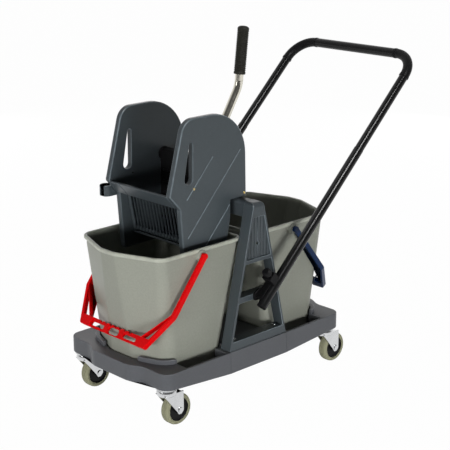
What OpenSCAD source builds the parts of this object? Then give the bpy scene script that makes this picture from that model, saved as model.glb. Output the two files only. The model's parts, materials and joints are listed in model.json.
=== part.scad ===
// Double mop bucket trolley: tray on four swivel castors, two lift-out buckets, a lever wringer and a push handle.
// X runs along the trolley (minus X is the wringer end), Y across it, Z up from the floor.

/* [Tray] */
// Length of the tray over its corner pods
tray_len = 586; // [560:1:620]
// Width of the tray
tray_w = 357; // [345:1:380]
// Height of the outer wall at the pods
tray_skirt = 40; // [34:1:50]
// How much deeper the wall hangs between the side frames
tray_drop = 13; // [6:1:24]
// How far the middle of each end bulges past the pods
tray_nose = 18; // [10:1:26]
// Radius of the pod corners
tray_corner_r = 28; // [16:1:34]
// Wall thickness of the tray
tray_wall = 4; // [3:0.5:6]
// Depth of the bucket wells below the rim
well_depth = 29; // [22:1:32]
// Gap between a bucket and the wall of its well
well_gap = 4; // [2:0.5:6]
// Height of the ridges round the outer corners of a bucket's foot
ridge_h = 11; // [8:1:16]
// Thickness of these ridges
ridge_t = 9; // [6:0.5:12]

/* [Castors] */
// Height from the floor to the underside of the pods
castor_h = 99; // [96:1:112]
// Wheel diameter over the tyre
wheel_d = 75; // [66:1:78]
// Width of the tyre
wheel_w = 24; // [18:1:26]
// Distance from the swivel axis back to the axle
castor_trail = 27; // [22:1:32]
// Swivel axis, measured in from the end of a pod
castor_in_x = 27; // [25:1:36]
// Swivel axis, measured in from the side of the tray
castor_in_y = 31; // [31:1:42]
// Diameter of the swivel bearing housing
raceway_d = 46; // [40:1:50]
// Diameter of the axle
axle_d = 8; // [6:0.5:10]

/* [Side frames] */
// Height of a side frame above the tray
frame_h = 343; // [320:1:370]
// Width of the frame at its foot
frame_foot = 188; // [170:1:200]
// Width of the frame at its top
frame_head = 32; // [28:1:40]
// Depth of the frame across the trolley
frame_depth = 31; // [24:1:32]
// How far the frame stands in from the side of the tray
frame_in = 3; // [1:0.5:6]
// Wall thickness of the frame
frame_wall = 6; // [4:0.5:9]
// Height of the foot bar
foot_bar = 21; // [14:1:28]
// Height of the step bar above the tray
step_z = 111; // [95:1:130]
// Thickness of the step bar
step_t = 14; // [10:1:18]
// Height of the bar under the ribbed panel, above the tray
panel_z = 201; // [180:1:215]

/* [Cross beam] */
// Width of the beam along the trolley
beam_w = 30; // [26:1:34]
// Height of the beam
beam_h = 40; // [30:1:50]

/* [Buckets] */
// Height of a bucket
bucket_h = 288; // [270:1:305]
// Length of the rim from the beam side to the nose
bucket_len = 295; // [280:1:305]
// Gap between the rim and the side frames
rim_side = 1.5; // [1:0.5:5]
// Gap between the rims and the sides of the beam
bucket_gap = 2; // [1:0.5:5]
// Wall thickness of a bucket
bucket_wall = 3; // [2:0.5:4]
// Overhang of the rolled rim
rim_lip = 4; // [3:0.5:6]
// Height of the rolled rim
rim_h = 10; // [7:0.5:14]
// Taper of the long sides from rim to base
side_taper = 13; // [8:1:18]
// Taper of the beam side from rim to base
inner_taper = 59; // [40:1:64]
// Taper of the nose from rim to base
nose_taper = 38; // [30:1:44]

/* [Bails] */
// Bail pivot, measured out from the middle of the trolley
bail_x = 150; // [135:1:165]
// Depth of the bail pivot below the rim
bail_drop = 17; // [15:0.5:24]
// Distance from the pivot to the middle of the grip
bail_reach = 233; // [225:1:236]
// Distance from the pivot to the bend in each arm
bail_elbow = 155; // [130:1:165]
// Length of the grip between its corners
bail_grip = 217; // [200:1:240]
// Height of the grip bar
bail_bar_h = 24; // [20:1:28]
// Thickness of the grip bar
bail_bar_t = 7; // [5:0.5:8]
// Gap between the grip and the nose of the bucket
bail_gap = 0.8; // [0.6:0.1:6]
// Diameter of the bail pins
bail_pin_d = 10; // [8:0.5:11]
// Length of the bail pins inside their lugs
bail_pin_len = 6; // [4:0.5:6.5]
// Thickness of the slim rib beside each window of the bail
bail_rib = 2.6; // [2:0.2:4]
// Number of finger notches along the grip
bail_notches = 7; // [3:2:9]

/* [Wringer] */
// Width over the cheeks
wringer_w = 228; // [216:1:236]
// Thickness of a cheek
cheek_t = 15; // [12:1:18]
// Height of the cheeks above the beam
cheek_up = 208; // [190:1:225]
// Depth of the cheeks below the top of the beam
cheek_down = 132; // [110:1:140]
// Distance from the beam's middle plane to the front nose
cheek_front = 217; // [205:1:225]
// Gap between the wringer's rear wall and the bucket it hangs in
wring_gap = 7; // [6.5:0.5:10]
// Height above the rim where the wringer's rear starts to slope with the bucket
wring_rise = 40; // [32:1:60]
// Radius of the cheek's rounded top
cheek_r = 105; // [80:1:110]
// How far the grille stands behind the front edges of the cheeks
grille_in = 20; // [12:1:22]
// Number of drain slots in the front grille
grille_slots = 14; // [8:1:16]
// Press shaft, measured forward from the beam's middle plane
shaft_x = 48; // [44:1:54]
// Press shaft, measured up from the top of the beam
shaft_z = 79; // [70:1:90]
// Diameter of the press shaft
shaft_d = 20; // [16:1:24]
// Length of the press plate below its shaft
plate_len = 158; // [140:1:160]
// Inner radius of the mop clip
clip_r = 12; // [10:0.5:14]

/* [Lever] */
// Distance of the lever from the middle plane, toward the right cheek
lever_y = 51; // [30:1:60]
// Lean of the lower part of the lever
lever_lean = 32; // [26:1:38]
// Length of the lower part, from the shaft to the bend
lever_low = 197; // [180:1:215]
// Lean of the upper part of the lever
lever_tip_lean = 7; // [3:1:12]
// Length of the upper part, from the bend to the top
lever_up = 140; // [130:1:160]
// Diameter of the lever tube
lever_d = 20; // [18:0.5:22]
// Diameter of the grip
grip_d = 28; // [25:0.5:32]
// Length of the grip
grip_len = 112; // [95:1:118]

/* [Push handle] */
// Gap between a leg tube and the inner face of its holder
leg_gap = 6.4; // [4:0.2:16]
// Diameter of the leg tubes
handle_d = 24; // [20:0.5:26]
// Lean of the handle from upright
handle_lean = 46.3; // [38:0.5:50]
// Length of the legs above the pivot
handle_len = 730; // [680:1:760]
// Length of the legs below the pivot
handle_tail = 26; // [20:1:34]
// Height of the joint between the two parts of a leg, along the leg
handle_split = 436; // [380:1:480]
// Radius of the corner bends
handle_bend = 62; // [50:1:80]
// Handle pivot, measured back from the frame's middle
handle_x = 5; // [0:1:12]

/* [Clearances] */
// Running clearance between a pin and its bore, on the radius
run_fit = 0.05; // [0.02:0.01:0.1]
// Gap between parts that rest on each other or move past each other
rest_gap = 0.3; // [0.2:0.05:0.6]
// Side gap between turning faces
side_gap = 0.6; // [0.4:0.1:1.2]

/* [Hidden] */
$fn = 48;
arc_n = 8;

grey = [0.36, 0.37, 0.385];
slate = [0.28, 0.31, 0.335];
pail = [0.59, 0.595, 0.555];
black = [0.06, 0.06, 0.065];
steel = [0.75, 0.76, 0.77];
tyre_tone = [0.55, 0.55, 0.45];
red = [0.86, 0.02, 0.05];
blue = [0.05, 0.14, 0.34];
brass = [0.75, 0.62, 0.25];

// Levels
tray_top = castor_h + tray_skirt;
well_z = tray_top - well_depth;
beam_top = tray_top + frame_h;
rim_z = well_z + bucket_h;

// Plan of the tray
pod_x = tray_len / 2;
tray_half = tray_w / 2;
nose_x = pod_x + tray_nose;
ogee_y = 0.45 * tray_half;
ogee_half = 17;
ogee_r = 45;
castor_x = pod_x - castor_in_x;
castor_y = tray_half - castor_in_y;
channel_x0 = frame_foot / 2 + 8;
channel_x1 = pod_x - 68;
ridge_y = 62;

// Frame planes
frame_out = tray_half - frame_in;
frame_inner = frame_out - frame_depth;
foot_screw_x = 0.36 * frame_foot;
foot_screw_y = frame_out - frame_depth / 2;

// Bucket plan: beam side, shoulder and nose of the rim, over the rolled lip
rim_x0 = beam_w / 2 + bucket_gap;
rim_x1 = rim_x0 + bucket_len;
rim_half = frame_inner - rim_side;
wall_h = bucket_h - rest_gap - rim_h;
shoulder_back = 43;
shoulder_base = 32;
nose_half = 22;
nose_half_base = 38;
corner_r = 20;
shoulder_r = [44, 28];
nose_r = [52, 32];

// Bail pins
bail_z = rim_z - bail_drop;
lug_y = rim_half + 4;
lug_r = 13;
arm_t = 9;
arm_y0 = lug_y + side_gap;
arm_y1 = arm_y0 + arm_t;
// The bail hangs outward until the upper edge of its grip meets the sloping nose
bail_top = bail_reach - bail_bar_h / 2;
nose_slope = nose_taper / wall_h;
nose_gap_x = rim_x1 - rim_lip - nose_taper + nose_slope * (bail_z - well_z - rest_gap) - bail_x
    + bail_gap * norm([1, nose_slope]);
hang = [bail_top + nose_slope * bail_bar_t / 2, nose_slope * bail_top - bail_bar_t / 2];
bail_rest = asin(nose_gap_x / norm(hang)) - atan2(hang.y, hang.x);

// Wringer planes
cheek_out = wringer_w / 2;
cheek_in = cheek_out - cheek_t;
hook_z = beam_top + rest_gap;
cheek_top = beam_top + cheek_up;
cheek_bottom = beam_top - cheek_down;
pivot_x = -shaft_x;
pivot_z = beam_top + shaft_z;
lip_top = beam_top + 40;
lip_bottom = beam_top + 6;
lip_back = cheek_front - 31;
grille_top_x = lip_back - grille_in;
grille_foot_x = cheek_front - 49 - grille_in;
grille_foot_z = beam_top - 90;
mouth = 2 * cheek_in;
back_t = 7;
slope_top = rim_z + wring_rise;
// Brass pins of the wringer: one behind the front nose, one over the beam
cheek_pin_r = 3;
front_pin = [-cheek_front + 72, beam_top + 47];
rear_pin = [beam_w / 2 - 2, hook_z + 9];
cheek_rear = rim_x0 + rim_lip + bucket_wall + wring_gap;
// Rear face of the wringer at height z: upright at the top, then sloping with the bucket
function rear_x(z) = cheek_rear + max(slope_top - z, 0) * inner_taper / wall_h;

// Handle pivot, on the step bar
handle_z = tray_top + step_z + step_t / 2;
handle_r = handle_d / 2;
bracket_t = 5;
pin_r = 5;
holder_y0 = frame_out + bracket_t + side_gap;
handle_half = holder_y0 + leg_gap + handle_r;
collar_h = 6;
collar_r = handle_r + 0.8;
knob_z = 40;

// The middle of the trolley's length, from the nose of the front bucket to the back of the push bar
reach = handle_x + handle_len * sin(handle_lean) + collar_r;
x_mid = (reach - max(rim_x1, nose_x)) / 2;

// Outline helpers

function unit(v) = v / norm(v);
function xy(c) = [c[0], c[1]];

// Arc of radius r that rounds corner b between a and c
function corner_arc(a, b, c, r, n) =
    let (
        u = unit(a - b),
        w = unit(c - b),
        half = acos(u * w) / 2,
        o = b + unit(u + w) * r / sin(half),
        p = b + u * r / tan(half),
        q = b + w * r / tan(half),
        s = atan2(p.y - o.y, p.x - o.x),
        f = atan2(q.y - o.y, q.x - o.x),
        turn = f - s > 180 ? f - s - 360 : f - s < -180 ? f - s + 360 : f - s
    )
    [for (i = [0 : n]) o + r * [cos(s + turn * i / n), sin(s + turn * i / n)]];

// Closed outline through corners [x, y, radius]
function rounded(cs, n = arc_n) =
    let (m = len(cs))
    [for (i = [0 : m - 1])
        each corner_arc(xy(cs[(i + m - 1) % m]), xy(cs[i]), xy(cs[(i + 1) % m]), cs[i][2], n)];

// Point where the line through p along u meets the line through q along w
function meet(p, u, q, w) = p + u * ((q.x - p.x) * w.y - (q.y - p.y) * w.x) / (u.x * w.y - u.y * w.x);

// Slot with round ends of different radii
function tapered_slot(a, ra, b, rb, n = 12) =
    let (
        d = unit(b - a),
        base = atan2(d.y, d.x),
        lean = acos((ra - rb) / norm(b - a))
    )
    concat(
        [for (i = [0 : n]) a + ra * [cos(base + lean + (360 - 2 * lean) * i / n),
                                     sin(base + lean + (360 - 2 * lean) * i / n)]],
        [for (i = [0 : n]) b + rb * [cos(base - lean + 2 * lean * i / n), sin(base - lean + 2 * lean * i / n)]]
    );

// Extrude an outline drawn as (x, z) across the trolley, from y0 over a depth
module across(y0, depth) {
    translate([0, y0 + depth, 0]) rotate([90, 0, 0]) linear_extrude(depth) children();
}

// Extrude an outline drawn as (y, z) along the trolley, from x0 over a depth
module along(x0, depth) {
    translate([x0, 0, 0]) rotate([90, 0, 90]) linear_extrude(depth) children();
}

// Cylinder lying across the trolley from y0 to y1
module pin_across(x, z, r, y0, y1) {
    translate([x, y1, z]) rotate([90, 0, 0]) cylinder(r = r, h = y1 - y0);
}

// Skin through a stack of rings, closed at the first and the last
module loft(rings) {
    n = len(rings[0]);
    k = len(rings);
    polyhedron(
        points = [for (ring = rings) each ring],
        faces = concat(
            [[for (i = [0 : n - 1]) i]],
            [[for (i = [n - 1 : -1 : 0]) (k - 1) * n + i]],
            [for (j = [0 : k - 2]) for (i = [0 : n - 1])
                [j * n + i, (j + 1) * n + i, (j + 1) * n + (i + 1) % n, j * n + (i + 1) % n]]
        )
    );
}

// Move the whole trolley so that the origin lies under its middle
module placed() {
    translate([-x_mid, 0, 0]) children();
}

// Side pieces are drawn at minus Y; side is 1 for the right (minus Y) and -1 for the left
module on_side(side) {
    scale_y = side > 0 ? 0 : 1;
    mirror([0, scale_y, 0]) children();
}

// Tray

function tray_plan(t) = rounded([
    [-pod_x + t, -tray_half + t, tray_corner_r - t],
    [pod_x - t, -tray_half + t, tray_corner_r - t],
    [pod_x - t, -ogee_y - ogee_half, ogee_r + t],
    [nose_x - t, -ogee_y + ogee_half, ogee_r - t],
    [nose_x - t, ogee_y - ogee_half, ogee_r - t],
    [pod_x - t, ogee_y + ogee_half, ogee_r + t],
    [pod_x - t, tray_half - t, tray_corner_r - t],
    [-pod_x + t, tray_half - t, tray_corner_r - t],
    [-pod_x + t, ogee_y + ogee_half, ogee_r + t],
    [-nose_x + t, ogee_y - ogee_half, ogee_r - t],
    [-nose_x + t, -ogee_y + ogee_half, ogee_r - t],
    [-pod_x + t, -ogee_y - ogee_half, ogee_r + t]
]);

// Plan of a bucket at share f of the height of its wall, grown by g
function bucket_plan(f, g) =
    let (
        x0 = rim_x0 + rim_lip + inner_taper * (1 - f) - g,
        x1 = rim_x1 - rim_lip - nose_taper * (1 - f) + g,
        w = rim_half - rim_lip - side_taper * (1 - f) + g,
        sh = x1 - shoulder_base - (shoulder_back - shoulder_base) * f,
        nose = nose_half_base + (nose_half - nose_half_base) * f,
        sr = shoulder_r[0] + (shoulder_r[1] - shoulder_r[0]) * f + g,
        nr = nose_r[0] + (nose_r[1] - nose_r[0]) * f + g
    )
    rounded([
        [x0, -w, corner_r + g], [sh, -w, sr], [x1, -nose, nr], [x1, nose, nr], [sh, w, sr], [x0, w, corner_r + g]
    ]);

module both_ends() {
    children();
    mirror([1, 0, 0]) children();
}

module at_castors() {
    for (x = [-castor_x, castor_x], y = [-castor_y, castor_y])
        translate([x, y, 0]) children();
}

module chassis_tray() {
    floor_t = tray_wall;
    hollow_z = well_z - floor_t;
    rib_t = 3;
    rib_end = 50;
    color(grey) placed() difference() {
        union() {
            difference() {
                translate([0, 0, castor_h - tray_drop])
                    linear_extrude(tray_skirt + tray_drop) polygon(tray_plan(0));
                // Hollow underside
                translate([0, 0, castor_h - tray_drop - 1])
                    linear_extrude(hollow_z - castor_h + tray_drop + 1) polygon(tray_plan(tray_wall));
            }
            // Ridges round the outer corners of the wells
            both_ends() for (y = [ridge_y, -tray_half]) intersection() {
                translate([0, 0, tray_top - 1]) linear_extrude(ridge_h + 1)
                    polygon(bucket_plan(well_depth / wall_h, well_gap + ridge_t));
                translate([channel_x1, y, tray_top - 1]) cube([nose_x - channel_x1, tray_half - ridge_y, ridge_h + 1]);
            }
            // Castor bosses and stiffening ribs under the floor
            at_castors() translate([0, 0, castor_h])
                cylinder(r = raceway_d / 2 + 4, h = hollow_z - castor_h + 1);
            for (y = [-0.42, 0, 0.42] * tray_w)
                translate([-pod_x + rib_end, y - rib_t / 2, castor_h])
                    cube([2 * (pod_x - rib_end), rib_t, hollow_z - castor_h + 1]);
            for (x = [-0.35, -0.12, 0.12, 0.35] * tray_len)
                translate([x - rib_t / 2, -tray_half + tray_wall - 1, castor_h])
                    cube([rib_t, tray_w - 2 * tray_wall + 2, hollow_z - castor_h + 1]);
        }
        // The lower edge rises from the frame feet to the pods
        both_ends() across(-tray_half - 1, tray_w + 2)
            polygon([[frame_foot / 2, castor_h - tray_drop - 1], [nose_x + 1, castor_h - tray_drop - 1],
                     [nose_x + 1, castor_h], [pod_x - 30, castor_h], [frame_foot / 2, castor_h - tray_drop]]);
        // Bucket wells with a channel along each side
        both_ends() translate([0, 0, well_z]) linear_extrude(well_depth + ridge_h + 1)
            polygon(bucket_plan(well_depth / wall_h, well_gap));
        both_ends() translate([channel_x0, -tray_half + 2 * tray_wall, well_z])
            cube([channel_x1 - channel_x0, tray_w - 4 * tray_wall, well_depth + 1]);
        // Screw holes for the frame feet
        for (x = [-1, 1] * foot_screw_x, y = [-1, 1] * foot_screw_y)
            translate([x, y, well_z]) cylinder(r = 2.6, h = well_depth + 1, $fn = 24);
        // Vertical seams at the ends of the deeper middle
        for (x = [-1, 1] * frame_foot / 2, y = [-1, 1] * tray_half)
            translate([x - 0.6, y - 0.6, 0]) cube([1.2, 1.2, tray_top + 1]);
    }
}

// Side frames and beam

// Half width of the side frame at height z above the tray
function frame_half(z) = frame_foot / 2 + (frame_head - frame_foot) / 2 * z / frame_h;

module frame_bay(z0, z1) {
    polygon([
        [-frame_half(z0) + frame_wall, tray_top + z0], [frame_half(z0) - frame_wall, tray_top + z0],
        [frame_half(z1) - frame_wall, tray_top + z1], [-frame_half(z1) + frame_wall, tray_top + z1]
    ]);
}

module side_frame(side) {
    bar_t = 9;
    head_h = 34;
    head_r = 12;
    recess = 5;
    panel_t = 4;
    panel_z0 = panel_z + bar_t;
    panel_z1 = frame_h - head_h;
    grooves = 7;
    pitch = 2 * (frame_half(panel_z0) - frame_wall) / (grooves + 1);
    color(slate) placed() on_side(side) difference() {
        across(-frame_out, frame_depth) polygon(rounded([
            [-frame_foot / 2, tray_top, 1], [frame_foot / 2, tray_top, 1],
            [frame_head / 2, beam_top, 9], [-frame_head / 2, beam_top, 9]
        ]));
        // Two open windows
        across(-frame_out - 1, frame_depth + 2) frame_bay(foot_bar, step_z);
        across(-frame_out - 1, frame_depth + 2) frame_bay(step_z + step_t, panel_z);
        // Ribbed panel, recessed from outside and hollow behind
        across(-frame_out - 1, recess + 1) frame_bay(panel_z0, panel_z1);
        across(-frame_out + recess + panel_t, frame_depth) frame_bay(panel_z0, panel_z1);
        intersection() {
            across(-frame_out, frame_depth) frame_bay(panel_z0, panel_z1);
            for (i = [1 : grooves])
                translate([-frame_half(panel_z0) + frame_wall + i * pitch - 0.8, -frame_out, tray_top])
                    cube([1.6, recess + 1.2, frame_h]);
        }
        // Rounded outer shoulder of the head
        along(-frame_head, 2 * frame_head) translate([-frame_out, beam_top - head_r]) difference() {
            translate([-1, 0]) square([head_r + 1, head_r + 1]);
            translate([head_r, 0]) circle(r = head_r);
        }
        // Accessory hole in the panel
        pin_across(0, tray_top + panel_z0 + 34, 4, -frame_out - 1, -frame_inner + 1);
        // Screw holes in the foot
        for (x = [-1, 1] * foot_screw_x)
            translate([x, -foot_screw_y, tray_top - 1]) cylinder(r = 2.6, h = foot_bar + 2, $fn = 24);
    }
}

module side_frame_right() { side_frame(1); }
module side_frame_left() { side_frame(-1); }

module cross_beam() {
    wall = 5;
    color(slate) placed() difference() {
        across(-frame_inner, 2 * frame_inner) polygon(rounded([
            [-beam_w / 2, beam_top - beam_h, 3], [beam_w / 2, beam_top - beam_h, 3],
            [beam_w / 2, beam_top, 9], [-beam_w / 2, beam_top, 9]
        ]));
        // Open underside
        across(-frame_inner + wall, 2 * frame_inner - 2 * wall) translate([-beam_w / 2 + wall, beam_top - beam_h - 1])
            square([beam_w - 2 * wall, beam_h - wall + 1]);
    }
}

module frame_screws() {
    color(steel) placed()
        for (x = [-1, 1] * foot_screw_x, y = [-1, 1] * foot_screw_y) {
            translate([x, y, well_z + 4]) cylinder(r = 2.5, h = well_depth + foot_bar - 4, $fn = 24);
            translate([x, y, tray_top + foot_bar]) cylinder(r = 5, h = 3, $fn = 24);
        }
}

// Castors

stem_r = 6;
plate_t = 3;
crown_top = castor_h - plate_t - side_gap;
crown_z = wheel_d + 2;
fork_gap = wheel_w / 2 + 1.5;
fork_t = 3;

module castor_plates() {
    head_r = 9;
    color(steel) placed() at_castors() {
        translate([0, 0, castor_h - plate_t]) cylinder(r = raceway_d / 2 + 3, h = plate_t);
        translate([0, 0, crown_z - rest_gap - 1]) cylinder(r = stem_r, h = castor_h - crown_z);
        translate([0, 0, crown_z - rest_gap - 3]) cylinder(r = head_r, h = 3);
    }
}

module castor_at(x, y) {
    placed() translate([x * castor_x, y * castor_y, 0]) children();
}

module castor_fork(x, y) {
    eye_r = axle_d / 2 + 6;
    axle_z = wheel_d / 2;
    house_h = crown_top - crown_z;
    bulge = 9;
    color(steel) castor_at(x, y) difference() {
        union() {
            // Bearing housing over the crown plate
            translate([0, 0, crown_z]) rotate_extrude() polygon(concat(
                [[0, 0]],
                [for (a = [-70 : 14 : 70]) [raceway_d / 2 - bulge + bulge * cos(a), house_h / 2 * (1 + sin(a) / sin(70))]],
                [[0, house_h]]
            ));
            translate([-6, -fork_gap - fork_t, crown_z])
                cube([castor_trail + eye_r + 6, 2 * (fork_gap + fork_t), fork_t]);
            // Side plates: upright behind the axle, slanting in front of it
            for (y = [fork_gap, -fork_gap - fork_t])
                across(y, fork_t) polygon([
                    [-raceway_d / 2 + 3, crown_z + 6], [castor_trail - eye_r, axle_z - 2],
                    [castor_trail - 5, axle_z - eye_r], [castor_trail + 3, axle_z - eye_r],
                    [castor_trail + eye_r, axle_z - 2], [castor_trail + eye_r, crown_z + 6]
                ]);
        }
        translate([0, 0, crown_z - 1]) cylinder(r = stem_r + run_fit, h = crown_top);
        pin_across(castor_trail, axle_z, axle_d / 2 + run_fit, -wheel_w, wheel_w);
    }
}

module castor_axle(x, y) {
    head_r = axle_d / 2 + 2.5;
    half = fork_gap + fork_t;
    color(steel) castor_at(x, y) {
        pin_across(castor_trail, wheel_d / 2, axle_d / 2, -half - 1, half + 1);
        pin_across(castor_trail, wheel_d / 2, head_r, half, half + 2.5);
        pin_across(castor_trail, wheel_d / 2, head_r, -half - 2.5, -half);
    }
}

tyre_t = 10;

module castor_hub(x, y) {
    r = wheel_d / 2 - tyre_t;
    color(black) castor_at(x, y) translate([castor_trail, 0, wheel_d / 2]) rotate([90, 0, 0])
        rotate_extrude() polygon([
            [axle_d / 2 + run_fit, -fork_gap + side_gap], [axle_d / 2 + 4, -fork_gap + side_gap],
            [axle_d / 2 + 6, -wheel_w / 2 + 5], [r - 4, -wheel_w / 2 + 5], [r, -wheel_w / 2 + 1],
            [r, wheel_w / 2 - 1], [r - 4, wheel_w / 2 - 5], [axle_d / 2 + 6, wheel_w / 2 - 5],
            [axle_d / 2 + 4, fork_gap - side_gap], [axle_d / 2 + run_fit, fork_gap - side_gap]
        ]);
}

module castor_tyre(x, y) {
    r = wheel_d / 2;
    side = wheel_w / 2;
    color(tyre_tone) castor_at(x, y) translate([castor_trail, 0, r]) rotate([90, 0, 0])
        rotate_extrude() polygon([
            [r - tyre_t, -side + 1], [r - tyre_t + 1, -side], [r - 5, -side], [r - 1.5, -side + 3], [r, -side + 7],
            [r, side - 7], [r - 1.5, side - 3], [r - 5, side], [r - tyre_t + 1, side], [r - tyre_t, side - 1]
        ]);
}

module castor_fork_fr() { castor_fork(-1, -1); }
module castor_fork_fl() { castor_fork(-1, 1); }
module castor_fork_rr() { castor_fork(1, -1); }
module castor_fork_rl() { castor_fork(1, 1); }
module castor_axle_fr() { castor_axle(-1, -1); }
module castor_axle_fl() { castor_axle(-1, 1); }
module castor_axle_rr() { castor_axle(1, -1); }
module castor_axle_rl() { castor_axle(1, 1); }
module castor_hub_fr() { castor_hub(-1, -1); }
module castor_hub_fl() { castor_hub(-1, 1); }
module castor_hub_rr() { castor_hub(1, -1); }
module castor_hub_rl() { castor_hub(1, 1); }
module castor_tyre_fr() { castor_tyre(-1, -1); }
module castor_tyre_fl() { castor_tyre(-1, 1); }
module castor_tyre_rr() { castor_tyre(1, -1); }
module castor_tyre_rl() { castor_tyre(1, 1); }

// Buckets

// Ring of the bucket skin at height z above its base, grown by g
function bucket_ring(z, g) = [for (p = bucket_plan(min(z / wall_h, 1), g)) [p.x, p.y, well_z + rest_gap + z]];

module bucket() {
    h = bucket_h - rest_gap;
    base_r = 7;
    color(pail) {
        loft([
            bucket_ring(0, -base_r), bucket_ring(2, -2), bucket_ring(base_r, 0), bucket_ring(wall_h, 0),
            bucket_ring(wall_h, rim_lip), bucket_ring(h - 3, rim_lip), bucket_ring(h, rim_lip - 2.5),
            bucket_ring(h, 0), bucket_ring(h - 3, -bucket_wall), bucket_ring(wall_h, -bucket_wall),
            bucket_ring(base_r, -bucket_wall), bucket_ring(bucket_wall, -base_r)
        ]);
        // Lugs with a blind bore for the pins of the bail
        for (s = [1, -1]) on_side(s) difference() {
            pin_across(bail_x, bail_z, lug_r, -lug_y, -rim_half + rim_lip + 3);
            pin_across(bail_x, bail_z, bail_pin_d / 2 + run_fit, -lug_y - 1, -lug_y + bail_pin_len + side_gap);
        }
    }
}

module bucket_front() { placed() mirror([1, 0, 0]) bucket(); }
module bucket_rear() { placed() bucket(); }

// Bails, drawn hanging straight down from their pivot and then swung out to where they rest

module bail() {
    deep = 13;
    bar = 7;
    corner = bail_grip / 2;
    low = -bail_reach - bail_bar_h / 2;
    high = -bail_top;
    elbow_in = [arm_y0, -bail_elbow + 3];
    elbow_out = [arm_y1, -bail_elbow];
    foot_in = [corner - 16, high];
    foot_out = [corner + 6, low];
    block = corner - 30;
    hole_z = -bail_reach - 1.5;
    notch = [7, 3];
    notch_pitch = 17;
    // Window between the outer bar and the slim inner rib of each slanting run
    out_dir = unit(elbow_out - foot_out);
    in_dir = unit(elbow_in - foot_in);
    out_edge = foot_out + bar * [-out_dir.y, out_dir.x];
    in_edge = foot_in + bail_rib * [in_dir.y, -in_dir.x];
    window = [meet(out_edge, out_dir, in_edge, in_dir), meet(out_edge, out_dir, [0, high], [1, 0]),
              meet(in_edge, in_dir, [0, high], [1, 0])];
    translate([bail_x, 0, bail_z]) rotate([0, -bail_rest, 0]) difference() {
        union() {
            for (s = [1, -1]) on_side(s) {
                // Arm, slanting run and the corner of the grip
                along(-deep / 2, deep) mirror([1, 0]) polygon(rounded([
                    [arm_y0, -2, 1], [arm_y1, -2, 1], [elbow_out.x, elbow_out.y, 14], [foot_out.x, foot_out.y, 7],
                    [block, low, 2], [block, high, 2], [foot_in.x, foot_in.y, 3], [elbow_in.x, elbow_in.y, 10]
                ], 5));
                // Eye and pin
                pin_across(0, 0, deep / 2 + 1, -arm_y1, -arm_y0);
                pin_across(0, 0, bail_pin_d / 2, -arm_y0 - 1, -lug_y + bail_pin_len);
            }
            // Grip bar
            along(-bail_bar_t / 2, bail_bar_t) translate([-corner + 10, low]) square([2 * corner - 20, bail_bar_h]);
        }
        for (s = [1, -1]) on_side(s) {
            along(-deep, 2 * deep) mirror([1, 0]) polygon(window);
            // Groove down the back of each arm
            translate([-deep / 2 - 1, -arm_y1 + 2.5, -bail_elbow + 8]) cube([5, arm_t - 5, bail_elbow - 30]);
        }
        // Slot, oval and slot through the grip
        for (y = [-0.27, 0.27] * bail_grip) along(-deep, 2 * deep) translate([y, hole_z])
            polygon(rounded([[-24, -4.5, 4.4], [24, -4.5, 4.4], [24, 4.5, 4.4], [-24, 4.5, 4.4]], 5));
        along(-deep, 2 * deep) translate([0, hole_z])
            polygon(rounded([[-19, -8, 7.9], [19, -8, 7.9], [19, 8, 7.9], [-19, 8, 7.9]], 5));
        // Finger notches along the upper edge
        for (i = [0 : bail_notches - 1])
            translate([-deep, (i - (bail_notches - 1) / 2) * notch_pitch - notch.x / 2, high - notch.y])
                cube([2 * deep, notch.x, notch.y + 1]);
    }
}

module bail_front() { color(red) placed() mirror([1, 0, 0]) bail(); }
module bail_rear() { color(blue) placed() bail(); }

// Wringer

module cheek_outline() {
    hole_low = [-cheek_front + 57, beam_top + 71];
    hole_high = [-cheek_front + 65, beam_top + 148];
    difference() {
        polygon(rounded([
            [-cheek_front, lip_top, 8],
            [-cheek_front + 0.27 * (cheek_top - lip_top), cheek_top, 38],
            [beam_w / 2 + 2, cheek_top, cheek_r],
            [beam_w / 2 + 5, hook_z, 4],
            [-cheek_rear, hook_z, 3],
            [-cheek_rear, slope_top, 20],
            [-rear_x(cheek_bottom), cheek_bottom, 6],
            [-lip_back + 10, cheek_bottom, 6],
            [-lip_back, lip_bottom, 4]
        ], 14));
        // Teardrop finger hole
        polygon(tapered_slot(hole_low, 12, hole_high, 5));
    }
}

module wringer_cheek(side) {
    rib = 1.2;
    rib_w = 3;
    rib_lean = 209;
    // Upper end of each slanting rib, from the middle plane and the beam, and its length
    rib_runs = [[-86, 113, 100], [1, 116, 205], [-33, -9, 98]];
    color(slate) placed() on_side(side) difference() {
        union() {
            across(-cheek_out, cheek_t) cheek_outline();
            for (r = rib_runs)
                translate([r.x, -cheek_out - rib, beam_top + r.y]) rotate([0, rib_lean, 0])
                    translate([-rib_w / 2, 0, 0]) cube([rib_w, rib + 1, r.z]);
        }
        // Seat of the shaft bush
        pin_across(pivot_x, pivot_z, shaft_d / 2 + 4, -cheek_in - 8, -cheek_in + 1);
        for (p = [front_pin, rear_pin])
            pin_across(p.x, p.y, cheek_pin_r + run_fit, -cheek_out - 2, -cheek_in + 1);
    }
}

module wringer_cheek_right() { wringer_cheek(1); }
module wringer_cheek_left() { wringer_cheek(-1); }

module wringer_rail() {
    t = 6;
    joint = [2.5, 1.8];
    color(slate) placed() difference() {
        across(-cheek_in, mouth) polygon(rounded([
            [-cheek_front, lip_top, 1.5], [-cheek_front + t + 3, lip_top, 2], [-lip_back + t, lip_bottom + 6, 2],
            [-lip_back + t, lip_bottom, 1], [-lip_back, lip_bottom, 1.5]
        ], 4));
        // Joint line near the clip
        across(cheek_in - 32, joint.x) polygon([
            [-cheek_front - t, lip_top + 1], [-cheek_front + joint.y, lip_top + 1],
            [-lip_back + joint.y, lip_bottom - 1], [-lip_back - t, lip_bottom - 1]
        ]);
    }
}

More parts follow.
